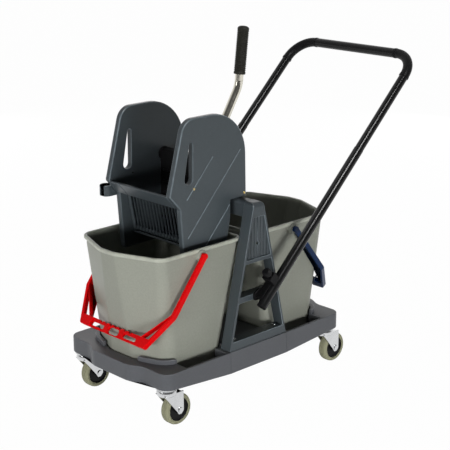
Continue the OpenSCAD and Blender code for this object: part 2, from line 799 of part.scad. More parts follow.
// The grille and the drain floor are drawn flat, with slots, and then laid between the cheeks

module slotted_plate(length, t, slots, rim) {
    pitch = (mouth - 2 * rim) / slots;
    difference() {
        translate([0, -cheek_in, 0]) cube([length, mouth, t]);
        for (i = [0 : slots - 1])
            translate([rim, -cheek_in + rim + (i + 0.25) * pitch, -1]) cube([length - 2 * rim, pitch / 2, t + 2]);
    }
}

module wringer_grille() {
    run = [grille_top_x - grille_foot_x, lip_bottom - grille_foot_z];
    color(slate) placed() translate([-grille_top_x, 0, lip_bottom - rest_gap])
        rotate([0, 90 - atan2(run.x, run.y), 0])
        slotted_plate(norm(run), 8, grille_slots, 9);
}

module wringer_back() {
    top_t = 5;
    foot = cheek_bottom + 8;
    color(black) placed() across(-cheek_in, mouth) polygon([
        [-rear_x(foot) - back_t, foot], [-rear_x(foot), foot], [-cheek_rear, slope_top], [-cheek_rear, hook_z],
        [beam_w / 2, hook_z], [beam_w / 2, hook_z + top_t], [-cheek_rear - back_t, hook_z + top_t],
        [-cheek_rear - back_t, slope_top]
    ]);
}

module wringer_drain() {
    rear_up = 16;
    z1 = cheek_bottom + rear_up;
    x1 = -rear_x(z1) - back_t - rest_gap;
    x0 = -grille_foot_x + 1;
    z0 = grille_foot_z - 3;
    color(slate) placed() translate([x0, 0, z0]) rotate([0, atan2(z0 - z1, x1 - x0), 0])
        translate([0, 0, -4]) slotted_plate(norm([x1 - x0, z1 - z0]) - 2, 4, grille_slots, 9);
}

module wringer_screws() {
    color(brass) placed() for (s = [1, -1]) on_side(s) {
        for (p = [front_pin, rear_pin])
            pin_across(p.x, p.y, cheek_pin_r, -cheek_out - 1, -cheek_in);
    }
}

module shaft_bushes() {
    r = shaft_d / 2;
    color(black) placed() for (s = [1, -1]) on_side(s)
        difference() {
            union() {
                pin_across(pivot_x, pivot_z, r + 4 - run_fit, -cheek_in - 8, -cheek_in);
                pin_across(pivot_x, pivot_z, r + 7, -cheek_in, -cheek_in + 2);
            }
            pin_across(pivot_x, pivot_z, r + run_fit, -cheek_in - 9, -cheek_in + 3);
        }
}

module mop_clip() {
    t = 4;
    high = 26;
    drop = 17;
    y = cheek_out + clip_r + t;
    x = -cheek_front + 16;
    z = lip_top - high - drop;
    color(slate) placed() difference() {
        union() {
            translate([x, y, z]) cylinder(r = clip_r + t, h = high);
            translate([x, cheek_out, z]) cube([clip_r + 18, t + 3, high]);
        }
        translate([x, y, z - 1]) cylinder(r = clip_r, h = high + 2);
        // Mouth of the clip, toward the front
        translate([x - 3 * clip_r, y - clip_r * 0.62, z - 1]) cube([3 * clip_r, clip_r * 1.24, high + 2]);
    }
}

// Press plate and lever, all on one shaft

socket_r = shaft_d / 2 + 6;
socket_half = lever_d / 2 + 6;

module press_plate() {
    half = cheek_in - 3;
    front = 14;
    t = 7;
    ribs = 5;
    color(black) placed() translate([pivot_x, 0, pivot_z]) difference() {
        union() {
            across(-half, 2 * half) polygon(rounded([
                [-front, -plate_len, 2], [-front + t, -plate_len, 2], [-front + t, -shaft_d / 2 - 2, 2],
                [shaft_d / 2 + 5, -2, 4], [shaft_d / 2 + 5, shaft_d / 2 + 3, 6], [-front, shaft_d / 2 + 3, 8]
            ], 5));
            // Ribs on the pressing face
            for (i = [0 : ribs - 1])
                translate([-front - 4, -half + 12, -plate_len + 12 + i * (plate_len - 50) / (ribs - 1)])
                    cube([5, 2 * half - 24, 4]);
            // Ribs that stiffen the back
            for (y = [-0.8, -0.27, 0.27, 0.8] * half)
                across(y - 2, 4) polygon([[-front + t - 1, -plate_len + 10], [-front + t + 4, -plate_len + 30],
                                          [shaft_d / 2 - 1, -4], [-front + t - 1, -4]]);
        }
        pin_across(0, 0, shaft_d / 2 + run_fit, -cheek_in, cheek_in);
        // Opening for the lever socket
        translate([-front - 6, -lever_y - socket_half - side_gap, -socket_r - side_gap])
            cube([3 * socket_r, 2 * (socket_half + side_gap), 3 * socket_r]);
    }
}

module press_shaft() {
    color(steel) placed() pin_across(pivot_x, pivot_z, shaft_d / 2, -cheek_in - 7.5, cheek_in + 7.5);
}

// Lever frame: origin on the shaft, Z up the lower part of the lever
module on_lever() {
    placed() translate([pivot_x, -lever_y, pivot_z]) rotate([0, lever_lean, 0]) children();
}

lever_turn = lever_lean - lever_tip_lean;
lever_bend_r = 60;
lever_cut = lever_bend_r * tan(lever_turn / 2);
socket_top = 52;

module lever_socket() {
    r = shaft_d / 2;
    color(black) on_lever() difference() {
        union() {
            pin_across(0, 0, socket_r, -socket_half, socket_half);
            translate([0, 0, r]) cylinder(r = lever_d / 2 + 4, h = socket_top - r);
        }
        pin_across(0, 0, r + run_fit, -lever_d, lever_d);
        translate([0, 0, r + 4]) cylinder(r = lever_d / 2 + run_fit, h = socket_top);
    }
}

module lever_ring(trim = 0) {
    wall = 2;
    difference() {
        circle(r = lever_d / 2 - trim);
        circle(r = lever_d / 2 - wall + trim);
    }
}

// Frame of the upper part of the lever, with its origin at the bend's corner
module on_lever_tip() {
    translate([0, 0, lever_low]) rotate([0, -lever_turn, 0]) children();
}

module lever_tube() {
    // The upper run enters the bend a little way, a hair thinner than the bend's wall
    lap = 1;
    hair = 0.03;
    foot = shaft_d / 2 + 4 + rest_gap;
    color(steel) on_lever() {
        translate([0, 0, foot]) linear_extrude(lever_low - lever_cut - foot) lever_ring();
        translate([-lever_bend_r, 0, lever_low - lever_cut]) rotate([90, 0, 0])
            rotate_extrude(angle = lever_turn) translate([lever_bend_r, 0]) lever_ring();
        on_lever_tip() translate([0, 0, lever_cut - lap]) linear_extrude(lever_up - lever_cut - 4 + lap) lever_ring(hair);
    }
}

module lever_grip() {
    ribs = 11;
    pitch = (grip_len - 16) / ribs;
    r = grip_d / 2;
    color(black) on_lever() on_lever_tip() translate([0, 0, lever_up - grip_len]) difference() {
        rotate_extrude() polygon(concat(
            [[0, 0], [r, 0]],
            [for (i = [0 : ribs - 1]) each [[r, 6 + i * pitch], [r - 1.5, 6 + (i + 0.15) * pitch],
                                            [r - 1.5, 6 + (i + 0.4) * pitch], [r, 6 + (i + 0.55) * pitch]]],
            [[r, grip_len - 5], [r - 5, grip_len], [0, grip_len]]
        ));
        translate([0, 0, -1]) cylinder(r = lever_d / 2 + run_fit, h = grip_len - 3 + 0.7);
    }
}

// Push handle: frame with its origin on the pivot and Z up the legs
module on_handle() {
    placed() translate([handle_x, 0, handle_z]) rotate([0, handle_lean, 0]) children();
}

tube_wall = 2;
spigot_r = handle_r - tube_wall - run_fit;
split_z = handle_split;
bend_z = handle_len - handle_bend;

module handle_bracket(side) {
    color(black) placed() on_side(side) {
        across(-frame_out - bracket_t, bracket_t) translate([handle_x, handle_z])
            polygon(rounded([[-24, -9, 6], [30, -9, 6], [30, 9, 6], [14, 18, 8], [-8, 18, 8], [-24, 9, 6]], 5));
        pin_across(handle_x, handle_z, pin_r, -handle_half + handle_r + rest_gap, -frame_out - bracket_t + 1);
        for (x = [-17, 23])
            pin_across(handle_x + x, handle_z, 4, -frame_out - bracket_t - side_gap / 2, -frame_out - bracket_t + 1);
    }
}

module handle_bracket_right() { handle_bracket(1); }
module handle_bracket_left() { handle_bracket(-1); }

module handle_holder(side) {
    long = 72;
    low = -14;
    color(black) on_handle() on_side(side) difference() {
        union() {
            translate([-handle_r - 3, -handle_half, low]) cube([2 * handle_r + 6, handle_half - holder_y0, long]);
            translate([-handle_r - 20, -handle_half - 9, knob_z - 11]) cube([24, handle_half + 9 - holder_y0, 22]);
        }
        translate([0, -handle_half, low - 1]) cylinder(r = handle_r + run_fit, h = long + 2);
        pin_across(0, 0, pin_r + run_fit, -handle_half, -holder_y0 + 1);
        translate([-handle_r - 21, -handle_half, knob_z]) rotate([0, 90, 0]) cylinder(r = 3 + run_fit, h = 40);
    }
}

module handle_holder_right() { handle_holder(1); }
module handle_holder_left() { handle_holder(-1); }

module handle_knob(side) {
    color(black) on_handle() on_side(side) translate([-handle_r - 20 - side_gap, -handle_half, knob_z]) {
        translate([-20, 0, 0]) rotate([0, 90, 0]) rotate_extrude() polygon([
            [0, 0], [8, 0], [11, 3], [11, 11], [7, 15], [7, 20], [0, 20]
        ]);
        rotate([0, 90, 0]) translate([0, 0, -1]) cylinder(r = 3, h = 20 + side_gap + 1 - rest_gap);
    }
}

module handle_knob_right() { handle_knob(1); }
module handle_knob_left() { handle_knob(-1); }

module leg_ring(r) {
    difference() {
        circle(r = r);
        circle(r = handle_r - tube_wall);
    }
}

module handle_leg(side) {
    color(black) on_handle() on_side(side) translate([0, -handle_half, -handle_tail])
        linear_extrude(split_z + handle_tail) leg_ring(handle_r);
}

module handle_leg_right() { handle_leg(1); }
module handle_leg_left() { handle_leg(-1); }

module handle_upper(side) {
    slim = 0.8;
    plug = 40;
    shoulder = 6;
    color(black) on_handle() on_side(side) translate([0, -handle_half, 0]) difference() {
        union() {
            translate([0, 0, split_z - plug]) cylinder(r = spigot_r, h = plug + 1);
            translate([0, 0, split_z]) cylinder(r = handle_r - slim, h = bend_z - collar_h - split_z);
        }
        translate([0, 0, split_z - plug - 1]) cylinder(r = spigot_r - tube_wall, h = plug + shoulder + 2);
        translate([0, 0, split_z + shoulder]) cylinder(r = handle_r - tube_wall, h = bend_z);
    }
}

module handle_upper_right() { handle_upper(1); }
module handle_upper_left() { handle_upper(-1); }

// Corner bend with a collar and a spigot at each end
module bend_end() {
    plug = 24;
    translate([0, 0, -collar_h]) cylinder(r = collar_r, h = collar_h);
    translate([0, 0, -collar_h - plug]) cylinder(r = spigot_r, h = plug);
}

module handle_bend(side) {
    color(black) on_handle() on_side(side) translate([0, -handle_half, bend_z]) {
        bend_end();
        translate([0, handle_bend, 0]) rotate([90, 0, -90]) rotate_extrude(angle = 90)
            translate([handle_bend, 0]) circle(r = handle_r);
        translate([0, handle_bend, handle_bend]) rotate([90, 0, 0]) bend_end();
    }
}

module handle_bend_right() { handle_bend(1); }
module handle_bend_left() { handle_bend(-1); }

module handle_bar() {
    half = handle_half - handle_bend - collar_h;
    color(black) on_handle() translate([0, half, handle_len]) rotate([90, 0, 0])
        linear_extrude(2 * half) leg_ring(handle_r);
}

module handle_caps() {
    color(black) on_handle() for (s = [1, -1]) on_side(s) translate([0, -handle_half, -handle_tail]) {
        cylinder(r = spigot_r, h = 14);
        translate([0, 0, -3]) cylinder(r = handle_r, h = 3);
    }
}

chassis_tray();
side_frame_right();
side_frame_left();
cross_beam();
frame_screws();
castor_plates();
castor_fork_fr();
castor_fork_fl();
castor_fork_rr();
castor_fork_rl();
castor_axle_fr();
castor_axle_fl();
castor_axle_rr();
castor_axle_rl();
castor_hub_fr();
castor_hub_fl();
castor_hub_rr();
castor_hub_rl();
castor_tyre_fr();
castor_tyre_fl();
castor_tyre_rr();
castor_tyre_rl();
bucket_front();
bucket_rear();
bail_front();
bail_rear();
wringer_cheek_right();
wringer_cheek_left();
wringer_rail();
wringer_grille();
wringer_back();
wringer_drain();
wringer_screws();
shaft_bushes();
mop_clip();
press_plate();
press_shaft();
lever_socket();
lever_tube();
lever_grip();
handle_bracket_right();
handle_bracket_left();
handle_holder_right();
handle_holder_left();
handle_knob_right();
handle_knob_left();
handle_leg_right();
handle_leg_left();
handle_upper_right();
handle_upper_left();
handle_bend_right();
handle_bend_left();
handle_bar();
handle_caps();
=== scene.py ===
"""Finished surfaces of a double mop bucket trolley, built on its solid frame.

Every piece is made in metres in the frame of the solids. X runs along the trolley from the wringer to the
push handle, Y across it and Z up.
"""

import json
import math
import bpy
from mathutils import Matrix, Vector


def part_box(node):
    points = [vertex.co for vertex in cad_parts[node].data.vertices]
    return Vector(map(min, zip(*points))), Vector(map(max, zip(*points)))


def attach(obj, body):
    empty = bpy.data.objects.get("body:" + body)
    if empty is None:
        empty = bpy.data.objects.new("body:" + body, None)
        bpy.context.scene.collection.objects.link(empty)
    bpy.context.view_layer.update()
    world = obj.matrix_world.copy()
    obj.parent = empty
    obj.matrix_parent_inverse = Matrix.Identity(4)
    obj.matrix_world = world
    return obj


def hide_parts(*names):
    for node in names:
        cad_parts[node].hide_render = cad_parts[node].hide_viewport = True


bl_info = {
    "name": "Double Mop Bucket Trolley",
    "version": (1, 0, 0),
    "blender": (4, 5, 0),
    "location": "View3D > Sidebar > Trolley",
    "description": "Builds the finished surfaces of a double mop bucket trolley on its solid frame",
    "category": "Object",
}

import bmesh
import bpy
from bpy.props import FloatProperty, FloatVectorProperty, IntProperty, PointerProperty
from mathutils import Matrix, Vector
from mathutils.geometry import tessellate_polygon

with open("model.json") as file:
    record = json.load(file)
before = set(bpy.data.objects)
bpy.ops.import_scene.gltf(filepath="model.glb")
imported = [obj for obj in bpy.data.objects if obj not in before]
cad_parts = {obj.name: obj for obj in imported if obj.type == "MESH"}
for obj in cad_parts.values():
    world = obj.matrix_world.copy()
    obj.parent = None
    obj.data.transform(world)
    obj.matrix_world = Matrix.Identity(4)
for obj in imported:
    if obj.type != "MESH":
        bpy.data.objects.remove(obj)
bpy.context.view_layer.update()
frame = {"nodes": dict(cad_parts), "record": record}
BODIES = frame["record"]["behaviour"]["bodies"]
BODY_OF = {node: body for body, nodes in BODIES.items() for node in nodes}
SLOT_OF = {row["node"]: row["material_slot"] for row in frame["record"]["subparts"]}
MM = 0.001
EDGE = "edge"
FINISH = "_finish"
CORNERS = ("fr", "fl", "rr", "rl")
SIDES = ("right", "left")
# The trolley's middle plane, halfway between the buckets
MID_X = sum(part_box("cross_beam"), Vector()).x / 2
SHIFT = Vector((MID_X, 0, 0))


# Settings


def colour_setting(name, description, default):
    """Colour setting."""
    return FloatVectorProperty(name=name, description=description, subtype="COLOR", default=default,
                               min=0, max=1)


def place_setting(name, description, default):
    """Place setting, in metres from the trolley's middle plane."""
    return FloatVectorProperty(name=name, description=description, subtype="XYZ", unit="LENGTH",
                               default=default)


def length_setting(name, description, default, least, most):
    """Length setting, in millimetres."""
    return FloatProperty(name=name, description=description, subtype="DISTANCE", default=default * MM,
                         min=least * MM, max=most * MM)


class TrolleyFinish(bpy.types.PropertyGroup):
    """Colours of the mouldings."""

    tray: colour_setting("Tray", "Grey of the tray", (0.1, 0.105, 0.115))
    slate: colour_setting("Slate", "Blue grey of the frames and the wringer", (0.06, 0.073, 0.081))
    pail: colour_setting("Pail", "Warm grey of the buckets", (0.31, 0.322, 0.275))
    red: colour_setting("Red", "Bail of the front bucket", (0.78, 0.001, 0.003))
    blue: colour_setting("Blue", "Bail of the rear bucket", (0.003, 0.02, 0.078))
    black: colour_setting("Black", "Black mouldings and tubes", (0.007, 0.007, 0.0075))
    tyre: colour_setting("Tyre", "Olive grey rubber of the wheels", (0.31, 0.31, 0.205))


class TrolleySizes(bpy.types.PropertyGroup):
    """Radii and counts of the small forms."""

    edge: length_setting("Edge radius", "Rounding of moulded edges", 2.2, 0.2, 6)
    sheet_edge: length_setting("Sheet edge", "Rounding of pressed steel edges", 0.7, 0.1, 2)
    slats: IntProperty(name="Slats", description="Fins of the wringer's grille", default=17, min=8, max=24)
    grip_ribs: IntProperty(name="Grip ribs", description="Beads of the lever's grip", default=22,
                           min=8, max=40)


class TrolleyStage(bpy.types.PropertyGroup):
    """Camera, floor and light."""

    lens: FloatProperty(name="Lens", description="Focal length in millimetres", default=99.17,
                        min=20, max=300)
    eye: place_setting("Eye", "Camera, measured from the trolley's middle plane", (-1.947, -2.0968, 1.247))
    aim: place_setting("Aim", "Point the camera looks at, from the middle plane", (0.0641, 0.0045, 0.3763))
    roll: FloatProperty(name="Roll", description="Turn of the camera about its line of sight, in degrees",
                        default=-0.264, min=-5, max=5)
    floor: colour_setting("Floor", "Pale floor", (0.9, 0.9, 0.9))
    light: FloatProperty(name="Light", description="Share of the studio light", default=1.0, min=0, max=4)


# Shader groups

# Noise scales, in waves per metre
DRIFT_SCALE = 7.0
SPECK_SCALE = 260.0
WEAR_AND_HIGHLIGHT_SCALE = 38.0
CLOUD_SCALE = 26.0
SCRATCH_STRETCH = (60.0, 900.0, 60.0)
GRIME = (0.05, 0.05, 0.05, 1)
# Sockets of a colour mix, whose names repeat: the factor and the two colours, and the result
MIX_INPUTS = (0, 6, 7)
MIX_OUTPUT = 2


def shader_group(name, inputs, outputs):
    """Empty shader group with named sockets; returns the tree and its two end nodes."""
    tree = bpy.data.node_groups.new(name, "ShaderNodeTree")
    for socket, kind, value in inputs:
        made = tree.interface.new_socket(name=socket, in_out="INPUT", socket_type="NodeSocket" + kind)
        made.default_value = value
    for socket, kind in outputs:
        tree.interface.new_socket(name=socket, in_out="OUTPUT", socket_type="NodeSocket" + kind)
    return tree, tree.nodes.new("NodeGroupInput"), tree.nodes.new("NodeGroupOutput")


def give(tree, outs, **results):
    """Links results to the named outputs of a group."""
    for name, result in results.items():
        tree.links.new(result, outs.inputs[name])
    return tree


def feed(tree, socket, value):
    """Links an input to another node's output, or gives it a plain value."""
    if hasattr(value, "is_linked"):
        tree.links.new(value, socket)
    else:
        socket.default_value = value


def noise(tree, vector, scale, detail, rough=0.5):
    """Noise texture on a vector socket."""
    made = tree.nodes.new("ShaderNodeTexNoise")
    for name, value in (("Vector", vector), ("Scale", scale), ("Detail", detail), ("Roughness", rough)):
        feed(tree, made.inputs[name], value)
    return made.outputs["Fac"]


def ramp(tree, value, low, high, out_low, out_high):
    """Clamped linear map of a value socket; each limit is a number or a socket."""
    made = tree.nodes.new("ShaderNodeMapRange")
    tree.links.new(value, made.inputs["Value"])
    for name, limit in (("From Min", low), ("From Max", high), ("To Min", out_low), ("To Max", out_high)):
        feed(tree, made.inputs[name], limit)
    return made.outputs["Result"]


def mix_colour(tree, share, first, second, kind="MIX"):
    """Colour mix; the inputs are sockets or plain colours."""
    made = tree.nodes.new("ShaderNodeMix")
    made.data_type = "RGBA"
    made.blend_type = kind
    for place, value in zip(MIX_INPUTS, (share, first, second)):
        feed(tree, made.inputs[place], value)
    return made.outputs[MIX_OUTPUT]


def arithmetic(tree, kind, first, second):
    """Two-input math node."""
    made = tree.nodes.new("ShaderNodeMath")
    made.operation = kind
    for socket, value in zip(made.inputs, (first, second)):
        feed(tree, socket, value)
    return made.outputs[0]


def mould_grain():
    """Fine texture of injection-moulded plastic with a slow drift of tone."""
    tree, ins, outs = shader_group(
        "mould_grain",
        [("Colour", "Color", (0.5, 0.5, 0.5, 1)), ("Grain Scale", "Float", 900.0), ("Drift", "Float", 0.08),
         ("Roughness Low", "Float", 0.4), ("Roughness High", "Float", 0.55)],
        [("Colour", "Color"), ("Roughness", "Float"), ("Height", "Float")],
    )
    place = tree.nodes.new("ShaderNodeTexCoord").outputs["Object"]
    fine = noise(tree, place, ins.outputs["Grain Scale"], 3.0)
    slow = noise(tree, place, DRIFT_SCALE, 3.0, 0.6)
    specks = noise(tree, place, SPECK_SCALE, 2.0)
    shade = ramp(tree, slow, 0.3, 0.7, -1.0, 1.0)
    shade = arithmetic(tree, "MULTIPLY", shade, ins.outputs["Drift"])
    shade = arithmetic(tree, "ADD", shade, 1.0)
    speck = ramp(tree, specks, 0.35, 0.65, 0.97, 1.03)
    shade = arithmetic(tree, "MULTIPLY", shade, speck)
    grey = tree.nodes.new("ShaderNodeCombineColor")
    for socket in grey.inputs:
        tree.links.new(shade, socket)
    colour = mix_colour(tree, 1.0, ins.outputs["Colour"], grey.outputs[0], "MULTIPLY")
    rough = ramp(tree, slow, 0.25, 0.75, ins.outputs["Roughness Low"], ins.outputs["Roughness High"])
    return give(tree, outs, Colour=colour, Roughness=rough, Height=fine)


def edge_rub():
    """Paler, smoother tone on the rounded edges that the mesh marks with its own attribute: partly wear,
    partly painted highlight.
    """
    # Rub Colour and Rub are the tone and share of this painted edge highlight, which partly stands for wear
    tree, ins, outs = shader_group(
        "edge_rub",
        [("Colour", "Color", (0.5, 0.5, 0.5, 1)), ("Roughness", "Float", 0.5),
         ("Rub Colour", "Color", (0.8, 0.8, 0.8, 1)), ("Rub", "Float", 0.3)],
        [("Colour", "Color"), ("Roughness", "Float")],
    )
    mark = tree.nodes.new("ShaderNodeAttribute")
    mark.attribute_name = EDGE
    place = tree.nodes.new("ShaderNodeTexCoord").outputs["Object"]
    # Patches of the painted highlight and wear along the marked edges
    patch = ramp(tree, noise(tree, place, WEAR_AND_HIGHLIGHT_SCALE, 4.0, 0.65), 0.3, 0.65, 0.45, 1.0)
    edge = arithmetic(tree, "MULTIPLY", mark.outputs["Fac"], patch)
    edge = arithmetic(tree, "MULTIPLY", edge, ins.outputs["Rub"])
    colour = mix_colour(tree, edge, ins.outputs["Colour"], ins.outputs["Rub Colour"])
    smooth = ramp(tree, edge, 0.0, 1.0, 1.0, 0.6)
    rough = arithmetic(tree, "MULTIPLY", ins.outputs["Roughness"], smooth)
    return give(tree, outs, Colour=colour, Roughness=rough)


def metal_scratch():
    """Faint scratches and clouding of a plated or painted metal."""
    tree, ins, outs = shader_group(
        "metal_scratch",
        [("Colour", "Color", (0.8, 0.8, 0.8, 1)), ("Roughness Low", "Float", 0.1),
         ("Roughness High", "Float", 0.3), ("Cloud", "Float", 0.1)],
        [("Colour", "Color"), ("Roughness", "Float"), ("Height", "Float")],
    )
    place = tree.nodes.new("ShaderNodeTexCoord").outputs["Object"]
    stretch = tree.nodes.new("ShaderNodeMapping")
    stretch.inputs["Scale"].default_value = SCRATCH_STRETCH
    tree.links.new(place, stretch.inputs["Vector"])
    lines = noise(tree, stretch.outputs[0], 1.0, 4.0, 0.7)
    cloud = noise(tree, place, CLOUD_SCALE, 4.0, 0.6)
    rough = ramp(tree, cloud, 0.3, 0.7, ins.outputs["Roughness Low"], ins.outputs["Roughness High"])
    shade = ramp(tree, cloud, 0.3, 0.7, 1.0, 0.0)
    shade = arithmetic(tree, "MULTIPLY", shade, ins.outputs["Cloud"])
    colour = mix_colour(tree, shade, ins.outputs["Colour"], GRIME)
    return give(tree, outs, Colour=colour, Roughness=rough, Height=lines)


# Materials

PLASTIC_IOR = 1.49
GRAIN_HEIGHT = 0.4 * MM
SCRATCH_HEIGHT = 0.2 * MM


def new_material(name):
    """Material with nodes; returns it, its tree and its surface shader."""
    made = bpy.data.materials.new(name)
    made.use_nodes = True
    return made, made.node_tree, made.node_tree.nodes["Principled BSDF"]


def placed_group(tree, group, **values):
    """A group node in a material, with its own values."""
    made = tree.nodes.new("ShaderNodeGroup")
    made.node_tree = group
    for name, value in values.items():
        made.inputs[name.replace("_", " ").title()].default_value = value
    return made


def bumped(tree, height, shader, strength, distance):
    """Bump on a shader's normal."""
    bump = tree.nodes.new("ShaderNodeBump")
    bump.inputs["Strength"].default_value = strength
    bump.inputs["Distance"].default_value = distance
    tree.links.new(height, bump.inputs["Height"])
    tree.links.new(bump.outputs["Normal"], shader.inputs["Normal"])


def rgba(colour, gain=1.0):
    """Colour with an alpha, brightened by a gain."""
    return tuple(min(c * gain, 1.0) for c in colour) + (1.0,)


def plastic(name, groups, colour, rough, grain=900.0, depth=0.12, drift=0.06, rub=0.3, wear_and_highlight_gain=1.9,
            shine=0.22):
    """Moulded plastic or rubber with grain, slow drift and edges lightened partly as wear, partly as a
    painted highlight.
    """
    _, tree, shader = new_material(name + FINISH)
    shader.inputs["IOR"].default_value = PLASTIC_IOR
    shader.inputs["Specular IOR Level"].default_value = shine
    mould = placed_group(tree, groups["grain"], colour=rgba(colour), grain_scale=grain, drift=drift,
                         roughness_low=rough[0], roughness_high=rough[1])
    # The rub lightens the marked edges by a gain: partly wear, partly painted highlight
    worn_and_highlighted = placed_group(tree, groups["rub"], rub_colour=rgba(colour, wear_and_highlight_gain), rub=rub)
    for output in ("Colour", "Roughness"):
        tree.links.new(mould.outputs[output], worn_and_highlighted.inputs[output])
    tree.links.new(worn_and_highlighted.outputs["Colour"], shader.inputs["Base Color"])
    tree.links.new(worn_and_highlighted.outputs["Roughness"], shader.inputs["Roughness"])
    bumped(tree, mould.outputs["Height"], shader, depth, GRAIN_HEIGHT)


def metal(name, groups, colour, rough, cloud, metallic=1.0, shine=0.5, depth=0.03):
    """Plated metal, or gloss paint over metal where metallic is 0."""
    _, tree, shader = new_material(name + FINISH)
    shader.inputs["Metallic"].default_value = metallic
    shader.inputs["Specular IOR Level"].default_value = shine
    worn = placed_group(tree, groups["scratch"], colour=rgba(colour), roughness_low=rough[0],
                        roughness_high=rough[1], cloud=cloud)
    tree.links.new(worn.outputs["Colour"], shader.inputs["Base Color"])
    tree.links.new(worn.outputs["Roughness"], shader.inputs["Roughness"])
    bumped(tree, worn.outputs["Height"], shader, depth, SCRATCH_HEIGHT)


def make_materials(finish):
    """One material for each slot of the record."""
    groups = {"grain": mould_grain(), "rub": edge_rub(), "scratch": metal_scratch()}
    # The rub values set how much the marked edges are lightened: partly wear, partly painted highlight
    plastic("tray_plastic", groups, finish.tray, (0.36, 0.5), rub=0.55, wear_and_highlight_gain=1.9, shine=0.3)
    plastic("frame_plastic", groups, finish.slate, (0.32, 0.44), rub=0.9, wear_and_highlight_gain=4.0, shine=0.3)
    plastic("bucket_plastic", groups, finish.pail, (0.34, 0.46), grain=1200.0, depth=0.06, drift=0.03,
            rub=0.8, wear_and_highlight_gain=1.8)
    plastic("red_plastic", groups, finish.red, (0.28, 0.4), depth=0.06, drift=0.05, rub=0.2, wear_and_highlight_gain=1.2,
            shine=0.12)
    plastic("blue_plastic", groups, finish.blue, (0.28, 0.4), depth=0.06, drift=0.05, rub=0.3, shine=0.15)
    plastic("black_plastic", groups, finish.black, (0.36, 0.52), rub=0.4, wear_and_highlight_gain=3.0, shine=0.12)
    plastic("grey_tyre", groups, finish.tyre, (0.55, 0.72), grain=700.0, depth=0.2, drift=0.12, rub=0.3,
            wear_and_highlight_gain=1.2)
    plastic("grip_rubber", groups, (0.017, 0.017, 0.013), (0.5, 0.68), grain=1100.0, depth=0.25, rub=0.5,
            wear_and_highlight_gain=2.5)
    metal("black_tube", groups, finish.black, (0.17, 0.22), 0.1, metallic=0.0, shine=0.2, depth=0.002)
    metal("chrome_steel", groups, (0.74, 0.71, 0.62), (0.1, 0.2), 0.12)
    metal("zinc_steel", groups, (0.66, 0.67, 0.68), (0.16, 0.3), 0.15)
    metal("brass_pin", groups, (0.72, 0.55, 0.2), (0.2, 0.35), 0.15)


# Mesh helpers

WELD = 0.01 * MM
FLAT_ANGLE = math.radians(0.4)
SHARP_ANGLE = math.radians(34)
SHADE_ANGLE = math.radians(36)
SHORTEST_EDGE = 0.4 * MM
EDGE_SEGMENTS = 3
# Share of the edge radius that slim mouldings get
SLIM_EDGE = 0.6


def new_piece(name, bm):
    """Object at the origin from a bmesh, smooth shaded."""
    mesh = bpy.data.meshes.new(name)
    bm.to_mesh(mesh)
    bm.free()
    made = bpy.data.objects.new(name, mesh)
    bpy.context.scene.collection.objects.link(made)
    mesh.shade_smooth()
    return made


def settle(piece):
    """Applies the modifiers of a piece to its mesh."""
    bpy.context.view_layer.update()
    graph = bpy.context.evaluated_depsgraph_get()
    mesh = bpy.data.meshes.new_from_object(piece.evaluated_get(graph), preserve_all_data_layers=True,
                                           depsgraph=graph)
    piece.modifiers.clear()
    old = piece.data
    piece.data = mesh
    bpy.data.meshes.remove(old)
    mesh.name = piece.name
    return piece


def dress(piece, slot, body, *nodes):
    """Material, body and replaced solids of a finished piece."""
    piece.data.materials.clear()
    piece.data.materials.append(bpy.data.materials[slot + FINISH])
    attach(piece, body)
    if nodes:
        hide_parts(*nodes)


def cad_copy(node):
    """Merged copy of a solid's triangles, with flat regions joined to single faces."""
    bm = bmesh.new()
    bm.from_mesh(frame["nodes"][node].data)
    bmesh.ops.remove_doubles(bm, verts=bm.verts, dist=WELD)
    bmesh.ops.dissolve_limit(bm, angle_limit=FLAT_ANGLE, verts=bm.verts, edges=bm.edges, delimit=set())
    return bm


def everywhere(place):
    """Default rule for rounding: every sharp edge by the whole radius."""
    return 1.0


def mark_edges(bm, rule):
    """Gives the sharp convex edges a bevel weight, from a rule on the middle of an edge."""
    weight = bm.edges.layers.float.new("bevel_weight_edge")
    for edge in bm.edges:
        if len(edge.link_faces) != 2 or not edge.is_convex or edge.calc_length() < SHORTEST_EDGE:
            continue
        if edge.calc_face_angle() > SHARP_ANGLE:
            edge[weight] = rule((edge.verts[0].co + edge.verts[1].co) / 2)


def flat_normals(piece):
    """Keeps the flats flat and the rounded edges smooth."""
    piece.data.shade_smooth()
    piece.data.set_sharp_from_angle(angle=SHADE_ANGLE)
    weigh = piece.modifiers.new("flats", "WEIGHTED_NORMAL")
    weigh.mode = "FACE_AREA"
    weigh.keep_sharp = True
    return settle(piece)


def round_edges(piece, width):
    """Rounds the marked edges of a piece and marks the middle of each rounding for the lightened edge, partly
    wear and partly painted highlight.
    """
    piece.data.materials.append(None)
    piece.data.materials.append(None)
    bevel = piece.modifiers.new("edges", "BEVEL")
    bevel.width = width
    bevel.segments = EDGE_SEGMENTS
    bevel.limit_method = "WEIGHT"
    bevel.use_clamp_overlap = False
    bevel.miter_outer = "MITER_ARC"
    bevel.material = 1
    settle(piece)
    mesh = piece.data
    shares = [1.0] * len(mesh.vertices)
    for face in mesh.polygons:
        if face.material_index == 0:
            for i in face.vertices:
                shares[i] = 0.0
        face.material_index = 0
    mesh.attributes.new(EDGE, "FLOAT", "POINT").data.foreach_set("value", shares)
    return flat_normals(piece)


def soften(node, width, rule=everywhere):
    """Copy of a solid with rounded edges, which it replaces."""
    bm = cad_copy(node)
    mark_edges(bm, rule)
    piece = new_piece(node + "_dress", bm)
    round_edges(piece, width)
    dress(piece, SLOT_OF[node], BODY_OF[node], node)


def skin(bm, rings):
    """Faces between each ring of vertices and the next."""
    for low, high in zip(rings, rings[1:]):
        for i in range(len(low)):
            j = (i + 1) % len(low)
            bm.faces.new((low[i], low[j], high[j], high[i]))


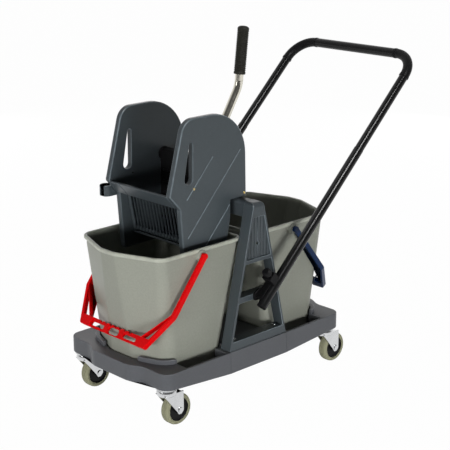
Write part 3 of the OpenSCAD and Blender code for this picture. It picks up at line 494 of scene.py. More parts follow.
def loft(bm, rings):
    """Closed skin over a list of rings of points."""
    made = [[bm.verts.new(p) for p in ring] for ring in rings]
    skin(bm, made)
    bm.faces.new(list(reversed(made[0])))
    bm.faces.new(made[-1])


def quarter(steps):
    """Angles from 0 to a quarter turn."""
    return [math.pi / 2 * i / steps for i in range(steps + 1)]


def revolve(bm, profile, place, axis, sides):
    """Solid of a profile of (radius, height) turned about an axis through a point."""
    turn = Vector((0, 0, 1)).rotation_difference(Vector(axis)).to_matrix()
    rings = []
    for radius, height in profile:
        ring = []
        for i in range(sides):
            a = 2 * math.pi * i / sides
            ring.append(Vector(place) + turn @ Vector((radius * math.cos(a), radius * math.sin(a), height)))
        rings.append(ring)
    loft(bm, rings)


def corner_arc(a, b, c, radius, count):
    """Points of the arc that rounds corner b between a and c."""
    u = (a - b).normalized()
    w = (c - b).normalized()
    half = math.acos(max(-1.0, min(1.0, u.dot(w)))) / 2
    centre = b + (u + w).normalized() * radius / math.sin(half)
    first = b + u * radius / math.tan(half) - centre
    last = b + w * radius / math.tan(half) - centre
    start = math.atan2(first.y, first.x)
    turn = math.atan2(last.y, last.x) - start
    turn = (turn + math.pi) % (2 * math.pi) - math.pi
    return [centre + radius * Vector((math.cos(start + turn * i / count), math.sin(start + turn * i / count)))
            for i in range(count + 1)]


def rounded(corners, count):
    """Closed outline through corners of (x, y, radius)."""
    points = [Vector(c[:2]) for c in corners]
    outline = []
    for i, corner in enumerate(corners):
        outline += corner_arc(points[i - 1], points[i], points[(i + 1) % len(points)], corner[2], count)
    return outline


# Geometry node helpers

RING_POINTS = 48
BEAD_POINTS = 10
BAR_ROUND = 0.3
BAR_ROUND_STEPS = 2


def geometry_tree(name, inputs):
    """Geometry node tree with named inputs that ends in one geometry output."""
    tree = bpy.data.node_groups.new(name, "GeometryNodeTree")
    for socket, kind in inputs:
        tree.interface.new_socket(name=socket, in_out="INPUT", socket_type="NodeSocket" + kind)
    tree.interface.new_socket(name="Geometry", in_out="OUTPUT", socket_type="NodeSocketGeometry")
    return tree, tree.nodes.new("NodeGroupInput"), tree.nodes.new("NodeGroupOutput")


def finish_row(tree, ins, outs, shape, turn=None):
    """Copies a mesh along a row of points, realizes the copies, sets the material and feeds the output."""
    row = tree.nodes.new("GeometryNodeMeshLine")
    for name, socket in (("Count", "Count"), ("Start", "Start Location"), ("Step", "Offset")):
        tree.links.new(ins.outputs[name], row.inputs[socket])
    copies = tree.nodes.new("GeometryNodeInstanceOnPoints")
    tree.links.new(row.outputs["Mesh"], copies.inputs["Points"])
    tree.links.new(shape, copies.inputs["Instance"])
    if turn:
        tree.links.new(turn, copies.inputs["Rotation"])
    real = tree.nodes.new("GeometryNodeRealizeInstances")
    paint = tree.nodes.new("GeometryNodeSetMaterial")
    smooth = tree.nodes.new("GeometryNodeSetShadeSmooth")
    tree.links.new(copies.outputs["Instances"], real.inputs["Geometry"])
    tree.links.new(real.outputs["Geometry"], smooth.inputs["Geometry"])
    tree.links.new(smooth.outputs["Geometry"], paint.inputs["Geometry"])
    tree.links.new(ins.outputs["Material"], paint.inputs["Material"])
    tree.links.new(paint.outputs["Geometry"], outs.inputs["Geometry"])


def grow(name, tree, values):
    """Plain mesh object from a geometry node tree with its inputs set."""
    made = new_piece(name, bmesh.new())
    modifier = made.modifiers.new("grow", "NODES")
    modifier.node_group = tree
    for item in tree.interface.items_tree:
        if item.in_out == "INPUT" and item.name in values:
            modifier[item.identifier] = values[item.name]
    made.update_tag()
    return settle(made)


def ring_row_tree():
    """Row of round beads: a ring of a given radius, repeated along its own axis."""
    tree, ins, outs = geometry_tree("ring_row", [
        ("Start", "Vector"), ("Step", "Vector"), ("Count", "Int"), ("Radius", "Float"), ("Bead", "Float"),
        ("Material", "Material")])
    circle = tree.nodes.new("GeometryNodeCurvePrimitiveCircle")
    circle.inputs["Resolution"].default_value = RING_POINTS
    tree.links.new(ins.outputs["Radius"], circle.inputs["Radius"])
    section = tree.nodes.new("GeometryNodeCurvePrimitiveCircle")
    section.inputs["Resolution"].default_value = BEAD_POINTS
    tree.links.new(ins.outputs["Bead"], section.inputs["Radius"])
    bead = tree.nodes.new("GeometryNodeCurveToMesh")
    tree.links.new(circle.outputs["Curve"], bead.inputs["Curve"])
    tree.links.new(section.outputs["Curve"], bead.inputs["Profile Curve"])
    turn = tree.nodes.new("FunctionNodeAlignRotationToVector")
    turn.axis = "Z"
    tree.links.new(ins.outputs["Step"], turn.inputs["Vector"])
    finish_row(tree, ins, outs, bead.outputs["Mesh"], turn.outputs["Rotation"])
    return tree


def bar_row_tree():
    """Row of rounded bars: a bar along one vector, repeated along another."""
    tree, ins, outs = geometry_tree("bar_row", [
        ("Start", "Vector"), ("Bar", "Vector"), ("Step", "Vector"), ("Count", "Int"), ("Width", "Float"),
        ("Depth", "Float"), ("Material", "Material")])
    line = tree.nodes.new("GeometryNodeCurvePrimitiveLine")
    tree.links.new(ins.outputs["Bar"], line.inputs["End"])
    section = tree.nodes.new("GeometryNodeCurvePrimitiveQuadrilateral")
    tree.links.new(ins.outputs["Width"], section.inputs["Width"])
    tree.links.new(ins.outputs["Depth"], section.inputs["Height"])
    corner = arithmetic(tree, "MULTIPLY", ins.outputs["Width"], BAR_ROUND)
    soft = tree.nodes.new("GeometryNodeFilletCurve")
    soft.mode = "POLY"
    soft.inputs["Count"].default_value = BAR_ROUND_STEPS
    tree.links.new(section.outputs["Curve"], soft.inputs["Curve"])
    tree.links.new(corner, soft.inputs["Radius"])
    body = tree.nodes.new("GeometryNodeCurveToMesh")
    body.inputs["Fill Caps"].default_value = True
    tree.links.new(line.outputs["Curve"], body.inputs["Curve"])
    tree.links.new(soft.outputs["Curve"], body.inputs["Profile Curve"])
    finish_row(tree, ins, outs, body.outputs["Mesh"])
    return tree


# Buckets, in millimetres from the trolley's middle plane

BUCKET = {
    "x0": 17.0, "x1": 312.0, "half": 143.0, "floor": 110.3, "high": 287.7, "wall_h": 277.7, "lip": 4.0,
    "wall": 3.0, "inner_taper": 59.0, "nose_taper": 38.0, "side_taper": 13.0, "foot_r": 7.0, "inside_r": 10.0,
    "heel_r": 20.0,
}
# Corners of the plan, each at the base and its change up to the rim
SHOULDER_BACK = (32, 11)
NOSE_HALF = (38, -16)
SHOULDER_ROUND = (44, -16)
NOSE_ROUND = (52, -20)
PLAN_STEPS, WALL_STEPS, FOOT_STEPS, INSIDE_STEPS = 14, 8, 6, 5
# The inside starts this far below the top of the wall, and its foot is flattened to this share
INSIDE_DROP, INSIDE_FLAT = 2, 0.7
# Groove and lower edge of the rim, as (height from the top of the wall, growth of the plan)
GROOVE = ((-6, -0.5), (-3, -1.0), (-0.6, -0.2), (0.2, 1.6), (0.6, 2.9), (1.8, 3.8), (3.6, 4.0))
# Rolled rim, as (depth below its top, growth of the plan)
RIM = ((3.2, 4.0), (1.5, 3.5), (0.4, 2.4), (0, 0.9), (0.2, -0.7), (1.0, -2.0), (2.6, -2.8), (5.0, -3.0))
GROOVE_START = 9
# The rim gets a painted highlight from this height above the top of the wall
RIM_HIGHLIGHT = 1
# Lug under the rim, as (radius, height from its seat)
LUG = ((15, 0), (14.5, 8), (13.2, 12), (12.4, 13.2), (11.6, 13.5))
LUG_SEAT = 133.5
LUG_SIDES = 40
PIVOT = (150.0, 381.0)
BUCKET_SHADE_ANGLE = math.radians(40)


def bucket_plan(share, grow_by):
    """Plan of a bucket at a share of its wall's height."""
    b = BUCKET
    x0 = b["x0"] + b["lip"] + b["inner_taper"] * (1 - share) - grow_by
    x1 = b["x1"] - b["lip"] - b["nose_taper"] * (1 - share) + grow_by
    w = b["half"] - b["lip"] - b["side_taper"] * (1 - share) + grow_by
    back, nose, shoulder_r, nose_r = (low + change * share for low, change in
                                      (SHOULDER_BACK, NOSE_HALF, SHOULDER_ROUND, NOSE_ROUND))
    heel_r, shoulder_r, nose_r = b["heel_r"] + grow_by, shoulder_r + grow_by, nose_r + grow_by
    return rounded([(x0, -w, heel_r), (x1 - back, -w, shoulder_r), (x1, -nose, nose_r), (x1, nose, nose_r),
                    (x1 - back, w, shoulder_r), (x0, w, heel_r)], PLAN_STEPS)


def bucket_profile():
    """(height, growth) pairs from the base, up the outside, over the rolled rim and down the inside."""
    wall_h, wall, foot, inside = (BUCKET[name] for name in ("wall_h", "wall", "foot_r", "inside_r"))
    steps = [(foot - foot * math.cos(a), -foot + foot * math.sin(a)) for a in quarter(FOOT_STEPS)]
    steps += [(foot + (wall_h - GROOVE_START - foot) * i / WALL_STEPS, 0.0) for i in range(1, WALL_STEPS + 1)]
    steps += [(wall_h + height, growth) for height, growth in GROOVE]
    steps += [(BUCKET["high"] - depth, growth) for depth, growth in RIM]
    top = wall_h - INSIDE_DROP
    steps += [(top - (top - inside) * i / WALL_STEPS, -wall) for i in range(WALL_STEPS + 1)]
    steps += [(wall + inside * INSIDE_FLAT * (1 - math.sin(a)), -wall - inside * (1 - math.cos(a)))
              for a in quarter(INSIDE_STEPS)[1:]]
    return steps


def make_bucket(name, node, sign):
    """One pail with its rolled rim and the two lugs that carry the bail."""
    bm = bmesh.new()
    rings = []
    for z, growth in bucket_profile():
        share = min(z / BUCKET["wall_h"], 1.0)
        rings.append([Vector((MID_X + sign * p.x * MM, p.y * MM, (BUCKET["floor"] + z) * MM))
                      for p in bucket_plan(share, growth)])
    loft(bm, rings)
    # Painted highlight along the rolled rim, carried by the edge mark
    mark = bm.verts.layers.float.new(EDGE)
    for vert in bm.verts:
        height = vert.co.z / MM - BUCKET["floor"]
        vert[mark] = 1.0 if height > BUCKET["wall_h"] + RIM_HIGHLIGHT else 0.0
    for side in (-1, 1):
        seat = Vector((MID_X + sign * PIVOT[0] * MM, side * LUG_SEAT * MM, PIVOT[1] * MM))
        revolve(bm, [(r * MM, h * MM) for r, h in LUG], seat, (0, side, 0), LUG_SIDES)
    bmesh.ops.recalc_face_normals(bm, faces=bm.faces)
    piece = new_piece(name, bm)
    piece.data.set_sharp_from_angle(angle=BUCKET_SHADE_ANGLE)
    dress(piece, "bucket_plastic", BODY_OF[node], node)


# Wringer cheeks, in metres in the frame of the solids

# The painted highlight on the edges is full above the one height, and least below the other
HIGHLIGHT_LOW, HIGHLIGHT_HIGH = 0.48, 0.56
LEAST_HIGHLIGHT = 0.25
HOLE_WEAR_AND_HIGHLIGHT = 0.45
HOLE_EDGE = 0.6
CHEEK_STEPS = 4
POCKET_DEPTH = 8 * MM
RIB_HEIGHT = 1.2 * MM
RIB_LEAN = math.radians(42.5)
RIB_STRETCH = 1.2
# Section of a rib, as (width, height, rub: share of the painted highlight on its back, partly wear), and its
# ends, as (place along it, share of the section)
RIB_SECTION = ((-1.5, -0.6, 0), (-1.45, 0.1, 0.4), (-1.0, 0.85, 1), (0, 1.15, 1), (1.0, 0.85, 1),
               (1.45, 0.1, 0.4), (1.5, -0.6, 0))
RIB_ENDS = ((0.0, 0.3), (0.5, 0.75), (1.4, 1.0), (-1.4, 1.0), (-0.5, 0.75), (0.0, 0.3))
FACING = 0.999
FACE_REACH = 0.05 * MM
# Least cosine used at a corner of an outline that is moved inward
MITRE_LIMIT = 0.5


def face_loops(node, y):
    """Outlines, as lists of (x, z), of the flat of a solid that faces along Y at a given place."""
    bm = bmesh.new()
    bm.from_mesh(frame["nodes"][node].data)
    bmesh.ops.remove_doubles(bm, verts=bm.verts, dist=WELD)
    flat = {f for f in bm.faces
            if abs(f.normal.y) > FACING and abs(f.calc_center_median().y - y) < FACE_REACH}
    follow = {}
    for face in flat:
        for loop in face.loops:
            if sum(other in flat for other in loop.edge.link_faces) == 1:
                place = loop.vert.co
                follow[loop.vert.index] = (loop.link_loop_next.vert.index, Vector((place.x, place.z)))
    bm.free()
    loops = []
    while follow:
        index = next(iter(follow))
        outline = []
        while index in follow:
            index, point = follow.pop(index)
            outline.append(point)
        loops.append(outline)
    return loops


def signed_area(loop):
    """Area inside a closed outline, positive where it runs anticlockwise."""
    return sum(a.cross(b) for a, b in zip(loop, loop[1:] + loop[:1])) / 2


def inset_loop(loop, distance):
    """Outline moved to its left by a distance."""
    moved = []
    for i, point in enumerate(loop):
        u = (point - loop[i - 1]).normalized()
        w = (loop[(i + 1) % len(loop)] - point).normalized()
        side = Vector((-u.y - w.y, u.x + w.x)).normalized()
        moved.append(point + side * distance / max(side.dot(Vector((-u.y, u.x))), MITRE_LIMIT))
    return moved


def strip(bm, mark, loop, radius, y_out, y_in, rub):
    """Wall of a plate along one outline, rounded at both faces, with a painted highlight along the rounding
    that is strongest at its top.

    Returns the rings of vertices at the outer and the inner face.
    """
    turn = quarter(CHEEK_STEPS)
    inward = 1.0 if y_in > y_out else -1.0
    levels = []
    for face, step, angles in ((y_out, inward, turn), (y_in, -inward, reversed(turn))):
        levels += [(radius * (1 - math.sin(a)), face + step * radius * (1 - math.cos(a)), a) for a in angles]
    rings = []
    for inset, y, a in levels:
        ring = [bm.verts.new((p.x, y, p.y)) for p in inset_loop(loop, inset)]
        for vert in ring:
            # Painted highlight: the edge mark peaks in the middle of the rounding and fades lower down
            share = (vert.co.z - HIGHLIGHT_LOW) / (HIGHLIGHT_HIGH - HIGHLIGHT_LOW)
            vert[mark] = math.sin(2 * a) * rub * min(max(share, LEAST_HIGHLIGHT), 1.0)
        rings.append(ring)
    skin(bm, rings)
    return rings[0], rings[-1]


def fill(bm, rings):
    """Flat face between an outline and the holes in it."""
    verts = [vert for ring in rings for vert in ring]
    for triangle in tessellate_polygon([[(v.co.x, v.co.z, 0) for v in ring] for ring in rings]):
        bm.faces.new([verts[i] for i in triangle])


def make_cheek(node, side, radius):
    """Side plate of the wringer with rounded edges, a finger hole, the pocket of its bush and thin ribs."""
    low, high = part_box(node)
    y_rib, y_in = (low.y, high.y) if side < 0 else (high.y, low.y)
    y_out = y_rib - side * RIB_HEIGHT
    outer, inner = (sorted(face_loops(node, y), key=lambda loop: -abs(signed_area(loop)))
                    for y in (y_out, y_in))
    outline, hole, pocket = outer[0], outer[1], inner[2]
    if signed_area(outline) < 0:
        outline.reverse()
    for loop in (hole, pocket):
        if signed_area(loop) > 0:
            loop.reverse()
    bm = bmesh.new()
    mark = bm.verts.layers.float.new(EDGE)
    front, back = zip(strip(bm, mark, outline, radius, y_out, y_in, 1.0),
                      strip(bm, mark, hole, radius * HOLE_EDGE, y_out, y_in, HOLE_WEAR_AND_HIGHLIGHT))
    fill(bm, front)
    mouth = [bm.verts.new((p.x, y_in, p.y)) for p in pocket]
    floor = [bm.verts.new((p.x, y_in + side * POCKET_DEPTH, p.y)) for p in pocket]
    fill(bm, back + (mouth,))
    skin(bm, [mouth, floor])
    bm.faces.new(floor)
    for loop in outer[2:]:
        if len(loop) == 4:
            cheek_rib(bm, mark, loop, y_out, side)
    bmesh.ops.recalc_face_normals(bm, faces=bm.faces)
    piece = flat_normals(new_piece(node + "_dress", bm))
    dress(piece, SLOT_OF[node], BODY_OF[node], node)


def cheek_rib(bm, mark, foot, y_out, side):
    """Thin raised rib with a round back, leaning from the upper end of the solid's four-cornered rib."""
    corners = foot if (foot[1] - foot[0]).length < (foot[2] - foot[1]).length else foot[1:] + foot[:1]
    start, end = sorted(((corners[i] + corners[i + 1]) / 2 for i in (0, 2)), key=lambda p: -p.y)
    along = Vector((-math.sin(RIB_LEAN), -math.cos(RIB_LEAN)))
    end = start + along * (end - start).length * RIB_STRETCH
    across = Vector((-along.y, along.x))
    rings = []
    for place, share in RIB_ENDS:
        base = (start if place > 0 or not rings else end) + along * place * MM
        ring = []
        for width, height, rub in RIB_SECTION:
            at = base + across * width * share * MM
            vert = bm.verts.new((at.x, y_out + side * height * (share if height > 0 else 1.0) * MM, at.y))
            # Painted highlight, partly wear, along the rib's round back
            vert[mark] = rub * share
            ring.append(vert)
        rings.append(ring)
    skin(bm, rings)
    bm.faces.new(rings[0])
    bm.faces.new(rings[-1])


# Stage values, in metres from the trolley's middle plane

SENSOR = 36.0
# Lamps: name, place, size, power, and whether they light surfaces softly, show as a shine, or both
LAMPS = (
    ("window", (-3.2, -0.9, 0.36), (1.6, 0.45), 47.0, "soft"),
    ("softbox", (-0.6, -3.3, 0.36), (1.6, 0.45), 55.0, "soft"),
    ("back", (3.2, 0.9, 0.36), (1.6, 0.45), 34.0, "soft"),
    ("far_side", (0.6, 3.3, 0.36), (1.6, 0.45), 34.0, "soft"),
    ("strip", (-2.6, 0.4, 1.5), (0.7, 0.7), 6.0, "both"),
    ("overhead", (-0.9, 0.9, 3.0), (1.2, 1.2), 5.0, "both"),
    ("rim", (1.9, 2.3, 1.5), (1.4, 1.4), 5.0, "both"),
    ("streak", (-0.23, -1.66, 2.26), (0.6, 0.6), 40.0, "shine"),
)
LAMP_AIM_LIFT = Vector((0, 0, 0.05))
FLOOR_RADIUS = 30.0
FLOOR_SIDES = 96
FLOOR_ROUGHNESS = 0.9
FLOOR_GLOW = 0.985
AMBIENT = 0.04
# Direction of the white backdrop in mirrored light, where it fades, and the light of the dim room
BACKDROP = (0.69, 0.72, 0.0)
BACKDROP_FADE = (-0.35, 0.45)
ROOM = 0.1


# Operators


class TROLLEY_OT_stage(bpy.types.Operator):
    """Camera, pale floor and soft studio light"""

    bl_idname = "trolley.stage"
    bl_label = "Stage"

    def execute(self, context):
        scene = context.scene
        stage = scene.trolley_stage
        scene.view_settings.view_transform = "Standard"
        eye = Vector(stage.eye) + SHIFT
        aim = Vector(stage.aim) + SHIFT
        lens = bpy.data.cameras.new("camera")
        lens.lens = stage.lens
        lens.sensor_width = SENSOR
        lens.dof.use_dof = False
        camera = bpy.data.objects.new("camera", lens)
        camera.location = eye
        level = (aim - eye).to_track_quat("-Z", "Y").to_matrix()
        camera.rotation_euler = (level @ Matrix.Rotation(math.radians(stage.roll), 3, "Z")).to_euler()
        scene.collection.objects.link(camera)
        scene.camera = camera
        self.floor(stage)
        self.world(scene, stage)
        for name, place, size, power, use in LAMPS:
            light = bpy.data.lights.new(name, "AREA")
            light.shape = "RECTANGLE"
            light.size, light.size_y = size
            light.energy = power * stage.light
            lamp = bpy.data.objects.new(name, light)
            lamp.visible_glossy = use != "soft"
            lamp.visible_diffuse = use != "shine"
            lamp.location = Vector(place) + SHIFT
            toward = aim + LAMP_AIM_LIFT - lamp.location
            lamp.rotation_euler = toward.to_track_quat("-Z", "Y").to_euler()
            scene.collection.objects.link(lamp)
        return {"FINISHED"}

    def floor(self, stage):
        """Wide pale disc that keeps the trolley's shadow."""
        bm = bmesh.new()
        bmesh.ops.create_circle(bm, cap_ends=True, segments=FLOOR_SIDES, radius=FLOOR_RADIUS)
        ground = new_piece("floor", bm)
        made, tree, shader = new_material("floor")
        shader.inputs["Base Color"].default_value = tuple(stage.floor) + (1.0,)
        shader.inputs["Roughness"].default_value = FLOOR_ROUGHNESS
        glow = tree.nodes.new("ShaderNodeEmission")
        path = tree.nodes.new("ShaderNodeLightPath").outputs
        seen = arithmetic(tree, "MAXIMUM", path["Is Camera Ray"], path["Is Glossy Ray"])
        seen = arithmetic(tree, "MAXIMUM", seen, path["Is Transmission Ray"])
        share = arithmetic(tree, "MULTIPLY", seen, FLOOR_GLOW)
        mixed = tree.nodes.new("ShaderNodeMixShader")
        tree.links.new(share, mixed.inputs[0])
        tree.links.new(shader.outputs[0], mixed.inputs[1])
        tree.links.new(glow.outputs[0], mixed.inputs[2])
        tree.links.new(mixed.outputs[0], tree.nodes["Material Output"].inputs["Surface"])
        ground.data.materials.append(made)

    def world(self, scene, stage):
        """White backdrop behind the trolley, a dim room on the other side and a little light all round."""
        made = bpy.data.worlds.new("studio")
        made.use_nodes = True
        tree = made.node_tree
        sky = tree.nodes["Background"]
        sky.inputs["Color"].default_value = (1.0, 1.0, 1.0, 1.0)
        path = tree.nodes.new("ShaderNodeLightPath").outputs
        across = tree.nodes.new("ShaderNodeVectorMath")
        across.operation = "DOT_PRODUCT"
        across.inputs[1].default_value = BACKDROP
        tree.links.new(tree.nodes.new("ShaderNodeTexCoord").outputs["Generated"], across.inputs[0])
        mirrored = ramp(tree, across.outputs["Value"], *BACKDROP_FADE, ROOM, 1.0)
        mirrored = arithmetic(tree, "MULTIPLY", mirrored, path["Is Glossy Ray"])
        plain = arithmetic(tree, "MAXIMUM", path["Is Camera Ray"], path["Is Transmission Ray"])
        strength = arithmetic(tree, "MAXIMUM", plain, mirrored)
        strength = arithmetic(tree, "MAXIMUM", strength, AMBIENT * stage.light)
        tree.links.new(strength, sky.inputs["Strength"])
        scene.world = made


class TROLLEY_OT_tray(bpy.types.Operator):
    """Tray with rounded edges"""

    bl_idname = "trolley.tray"
    bl_label = "Tray"
    SEAM_X = 94 * MM
    SEAM_REACH = 2 * MM

    def execute(self, context):
        soften("chassis_tray", context.scene.trolley_sizes.edge, rule=self.off_seam)
        return {"FINISHED"}

    @classmethod
    def off_seam(cls, place):
        """Leaves the vertical seams at the frame feet sharp."""
        return 1.0 if abs(abs(place.x - MID_X) - cls.SEAM_X) > cls.SEAM_REACH else 0.0


class TROLLEY_OT_frames(bpy.types.Operator):
    """Side frames, cross beam and their screws"""

    bl_idname = "trolley.frames"
    bl_label = "Frames"

    def execute(self, context):
        sizes = context.scene.trolley_sizes
        for side in SIDES:
            soften("side_frame_" + side, sizes.edge * SLIM_EDGE)
        soften("cross_beam", sizes.edge)
        soften("frame_screws", sizes.sheet_edge)
        return {"FINISHED"}


class TROLLEY_OT_castors(bpy.types.Operator):
    """Four swivel castors"""

    bl_idname = "trolley.castors"
    bl_label = "Castors"
    TYRE_BAND = 10 * MM
    TYRE_ROUND = 6.5 * MM
    TYRE_STEPS = 8
    TYRE_SIDES = 72
    # Inner edge of the tyre, as (distance from its bore, depth below its side)
    TYRE_LIP = ((0.0, 1.2), (0.8, 0.3), (2.0, 0.0))

    def execute(self, context):
        edge = context.scene.trolley_sizes.sheet_edge
        soften("castor_plates", edge)
        for corner in CORNERS:
            for part in ("fork", "axle", "hub"):
                soften("castor_%s_%s" % (part, corner), edge)
            self.tyre(corner)
        return {"FINISHED"}

    def tyre(self, corner):
        """Rounded rubber tyre."""
        node = "castor_tyre_" + corner
        low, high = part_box(node)
        centre = (low + high) / 2
        r = (high.x - low.x) / 2
        side = (high.y - low.y) / 2
        soft = self.TYRE_ROUND
        half = [(r - self.TYRE_BAND + out * MM, side - depth * MM) for out, depth in self.TYRE_LIP]
        half += [(r - soft + soft * math.sin(a), side - soft + soft * math.cos(a))
                 for a in quarter(self.TYRE_STEPS)]
        profile = half + [(radius, -height) for radius, height in reversed(half)]
        bm = bmesh.new()
        revolve(bm, profile, centre, (0, 1, 0), self.TYRE_SIDES)
        flat = [f for f in bm.faces if len(f.verts) > 4]
        bmesh.ops.delete(bm, geom=flat, context="FACES_ONLY")
        edges = [e for e in bm.edges if e.is_boundary]
        bmesh.ops.bridge_loops(bm, edges=edges)
        bmesh.ops.recalc_face_normals(bm, faces=bm.faces)
        dress(new_piece(node + "_dress", bm), "grey_tyre", BODY_OF[node], node)


class TROLLEY_OT_buckets(bpy.types.Operator):
    """Two pails with rolled rims"""

    bl_idname = "trolley.buckets"
    bl_label = "Buckets"

    def execute(self, context):
        make_bucket("bucket_front_dress", "bucket_front", -1)
        make_bucket("bucket_rear_dress", "bucket_rear", 1)
        return {"FINISHED"}


class TROLLEY_OT_bails(bpy.types.Operator):
    """Red and blue carrying bails"""

    bl_idname = "trolley.bails"
    bl_label = "Bails"
    EDGE_RADIUS = 1.3 * MM

    def execute(self, context):
        for node in ("bail_front", "bail_rear"):
            soften(node, self.EDGE_RADIUS)
        return {"FINISHED"}


class TROLLEY_OT_wringer(bpy.types.Operator):
    """Wringer cheeks, rail, grille, back, drain and clip"""

    bl_idname = "trolley.wringer"
    bl_label = "Wringer"
    CHEEK_EDGE = 1.5
    # Middle of the grille's front face at its top and foot, from the trolley's middle plane
    GRILLE_TOP = Vector((-166, 0, 487.7)) * MM
    GRILLE_FOOT = Vector((-148, 0, 391.7)) * MM
    GRILLE_HALF = 99 * MM
    RIM_DEPTH, RIM_WIDTH = 8 * MM, 9 * MM
    CROSS_RIM_DEPTH, CROSS_RIM_BACK = 5 * MM, 5.5 * MM
    FIN_WIDTH, FIN_DEPTH, FIN_BACK = 1.8 * MM, 4 * MM, 3 * MM

    def execute(self, context):
        sizes = context.scene.trolley_sizes
        for node, side in (("wringer_cheek_right", -1), ("wringer_cheek_left", 1)):
            make_cheek(node, side, sizes.edge * self.CHEEK_EDGE)
        for node in ("wringer_rail", "wringer_back", "mop_clip"):
            soften(node, sizes.edge * SLIM_EDGE)
        for node in ("wringer_drain", "wringer_screws", "shaft_bushes"):
            soften(node, sizes.sheet_edge)
        self.grille(sizes.slats)
        return {"FINISHED"}

    def grille(self, slats):
        """Slanted front grille: thin upright fins in a rim."""
        top, half, rim = self.GRILLE_TOP, self.GRILLE_HALF, self.RIM_WIDTH
        along = self.GRILLE_FOOT - top
        down = along.normalized()
        inward = Vector((-down.z, 0, down.x))
        across = Vector((0, 1, 0))
        tree = bar_row_tree()
        slot, body = SLOT_OF["wringer_grille"], BODY_OF["wringer_grille"]

        def row(name, start, bar, step, count, width, depth):
            """One row of bars as a piece."""
            return flat_normals(grow(name, tree, {
                "Start": start + SHIFT, "Bar": bar, "Step": step, "Count": count, "Width": width,
                "Depth": depth, "Material": bpy.data.materials[slot + FINISH]}))

        side_rims = row("grille_side_rims", top + inward * self.RIM_DEPTH / 2 - across * (half - rim / 2),
                        along, across * (2 * half - rim), 2, rim, self.RIM_DEPTH)
        dress(side_rims, slot, body, "wringer_grille")
        cross_rims = row("grille_cross_rims",
                         top + inward * self.CROSS_RIM_BACK - across * half + down * rim / 2,
                         across * 2 * half, down * (along.length - rim), 2, self.CROSS_RIM_DEPTH, rim)
        dress(cross_rims, slot, body)
        pitch = 2 * (half - rim) / (slats - 1)
        fins = row("grille_fins", top + inward * self.FIN_BACK - across * (half - rim), along, across * pitch,
                   slats, self.FIN_WIDTH, self.FIN_DEPTH)
        dress(fins, slot, body)


class TROLLEY_OT_press(bpy.types.Operator):
    """Press plate, shaft, lever and ribbed grip"""

    bl_idname = "trolley.press"
    bl_label = "Press and lever"
    GRIP_RADIUS = 14 * MM
    GRIP_LEAN = math.radians(7)
    GRIP_SIDES = 48
    GRIP_SHADE_ANGLE = math.radians(50)
    # Core of the grip, as (radius, height), and the first and last of its beads
    GRIP_CORE = ((10.2, 0.1), (13.0, 0.1), (13.8, 0.9), (13.8, 5.5), (12.6, 6.7), (12.4, 8), (12.4, 100),
                 (12.8, 101.4), (13.7, 102.4), (13.7, 105.2), (12.9, 107.4), (11, 109.6), (7.5, 111.2),
                 (3, 111.8))
    BEADS = (9.5 * MM, 99.5 * MM)
    BEAD_RING, BEAD_RADIUS = 12.3 * MM, 1.6 * MM

    def execute(self, context):
        sizes = context.scene.trolley_sizes
        for node in ("press_plate", "lever_socket"):
            soften(node, sizes.edge * SLIM_EDGE)
        for node in ("press_shaft", "lever_tube"):
            soften(node, sizes.sheet_edge)
        self.grip(sizes.grip_ribs)
        return {"FINISHED"}

    def grip(self, ribs):
        """Rubber grip: a soft core with a row of round beads."""
        node = "lever_grip"
        slot, body = SLOT_OF[node], BODY_OF[node]
        low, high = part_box(node)
        reach, lean = self.GRIP_RADIUS, self.GRIP_LEAN
        axis = Vector((math.sin(lean), 0, math.cos(lean)))
        foot = Vector((low.x + reach * math.cos(lean), (low.y + high.y) / 2, low.z + reach * math.sin(lean)))
        bm = bmesh.new()
        revolve(bm, [(r * MM, h * MM) for r, h in self.GRIP_CORE], foot, axis, self.GRIP_SIDES)
        core = new_piece("lever_grip_core", bm)
        core.data.set_sharp_from_angle(angle=self.GRIP_SHADE_ANGLE)
        dress(core, slot, body, node)
        first, last = self.BEADS
        beads = grow("lever_grip_beads", ring_row_tree(), {
            "Start": foot + axis * first, "Step": axis * (last - first) / (ribs - 1), "Count": ribs,
            "Radius": self.BEAD_RING, "Bead": self.BEAD_RADIUS,
            "Material": bpy.data.materials[slot + FINISH]})
        dress(beads, slot, body)


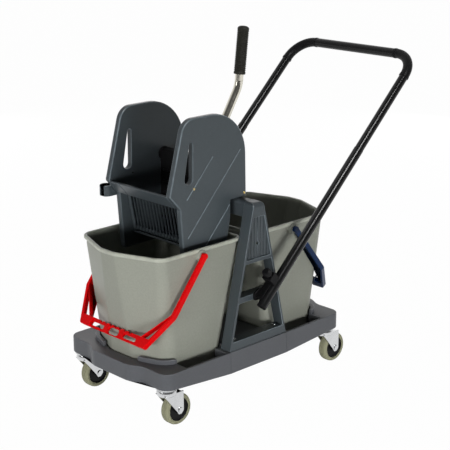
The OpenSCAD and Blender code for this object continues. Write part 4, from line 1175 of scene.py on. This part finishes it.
class TROLLEY_OT_handle(bpy.types.Operator):
    """Folding push handle with its brackets and knobs"""

    bl_idname = "trolley.handle"
    bl_label = "Push handle"
    FITTING_EDGE = 0.5

    def execute(self, context):
        sizes = context.scene.trolley_sizes
        widths = {part: sizes.edge * self.FITTING_EDGE for part in ("bracket", "holder", "knob")}
        widths.update({part: sizes.sheet_edge for part in ("leg", "upper", "bend")})
        for part, width in widths.items():
            for side in SIDES:
                soften("handle_%s_%s" % (part, side), width)
        for node in ("handle_bar", "handle_caps"):
            soften(node, sizes.sheet_edge)
        return {"FINISHED"}


class TROLLEY_PT_panel(bpy.types.Panel):
    """Lists the steps that build the trolley"""

    bl_label = "Trolley"
    bl_idname = "TROLLEY_PT_panel"
    bl_space_type = "VIEW_3D"
    bl_region_type = "UI"
    bl_category = "Trolley"

    def draw(self, context):
        for operator in OPERATORS:
            self.layout.operator(operator.bl_idname)
        for group, kind in SETTINGS:
            settings = getattr(context.scene, group)
            column = self.layout.column(align=True)
            for name in kind.__annotations__:
                column.prop(settings, name)


OPERATORS = (
    TROLLEY_OT_stage,
    TROLLEY_OT_tray,
    TROLLEY_OT_frames,
    TROLLEY_OT_castors,
    TROLLEY_OT_buckets,
    TROLLEY_OT_bails,
    TROLLEY_OT_wringer,
    TROLLEY_OT_press,
    TROLLEY_OT_handle,
)
SETTINGS = (
    ("trolley_finish", TrolleyFinish),
    ("trolley_sizes", TrolleySizes),
    ("trolley_stage", TrolleyStage),
)


def register():
    """Adds the settings, operators and panel."""
    for name, group in SETTINGS:
        bpy.utils.register_class(group)
        setattr(bpy.types.Scene, name, PointerProperty(type=group))
    for operator in OPERATORS:
        bpy.utils.register_class(operator)
    bpy.utils.register_class(TROLLEY_PT_panel)


def unregister():
    """Takes them off again."""
    bpy.utils.unregister_class(TROLLEY_PT_panel)
    for operator in reversed(OPERATORS):
        bpy.utils.unregister_class(operator)
    for name, group in reversed(SETTINGS):
        delattr(bpy.types.Scene, name)
        bpy.utils.unregister_class(group)


def main():
    """Registers the steps, makes the materials and builds the whole trolley."""
    register()
    make_materials(bpy.context.scene.trolley_finish)
    for operator in OPERATORS:
        family, step = operator.bl_idname.split(".")
        getattr(getattr(bpy.ops, family), step)()


if __name__ == "__main__":
    main()
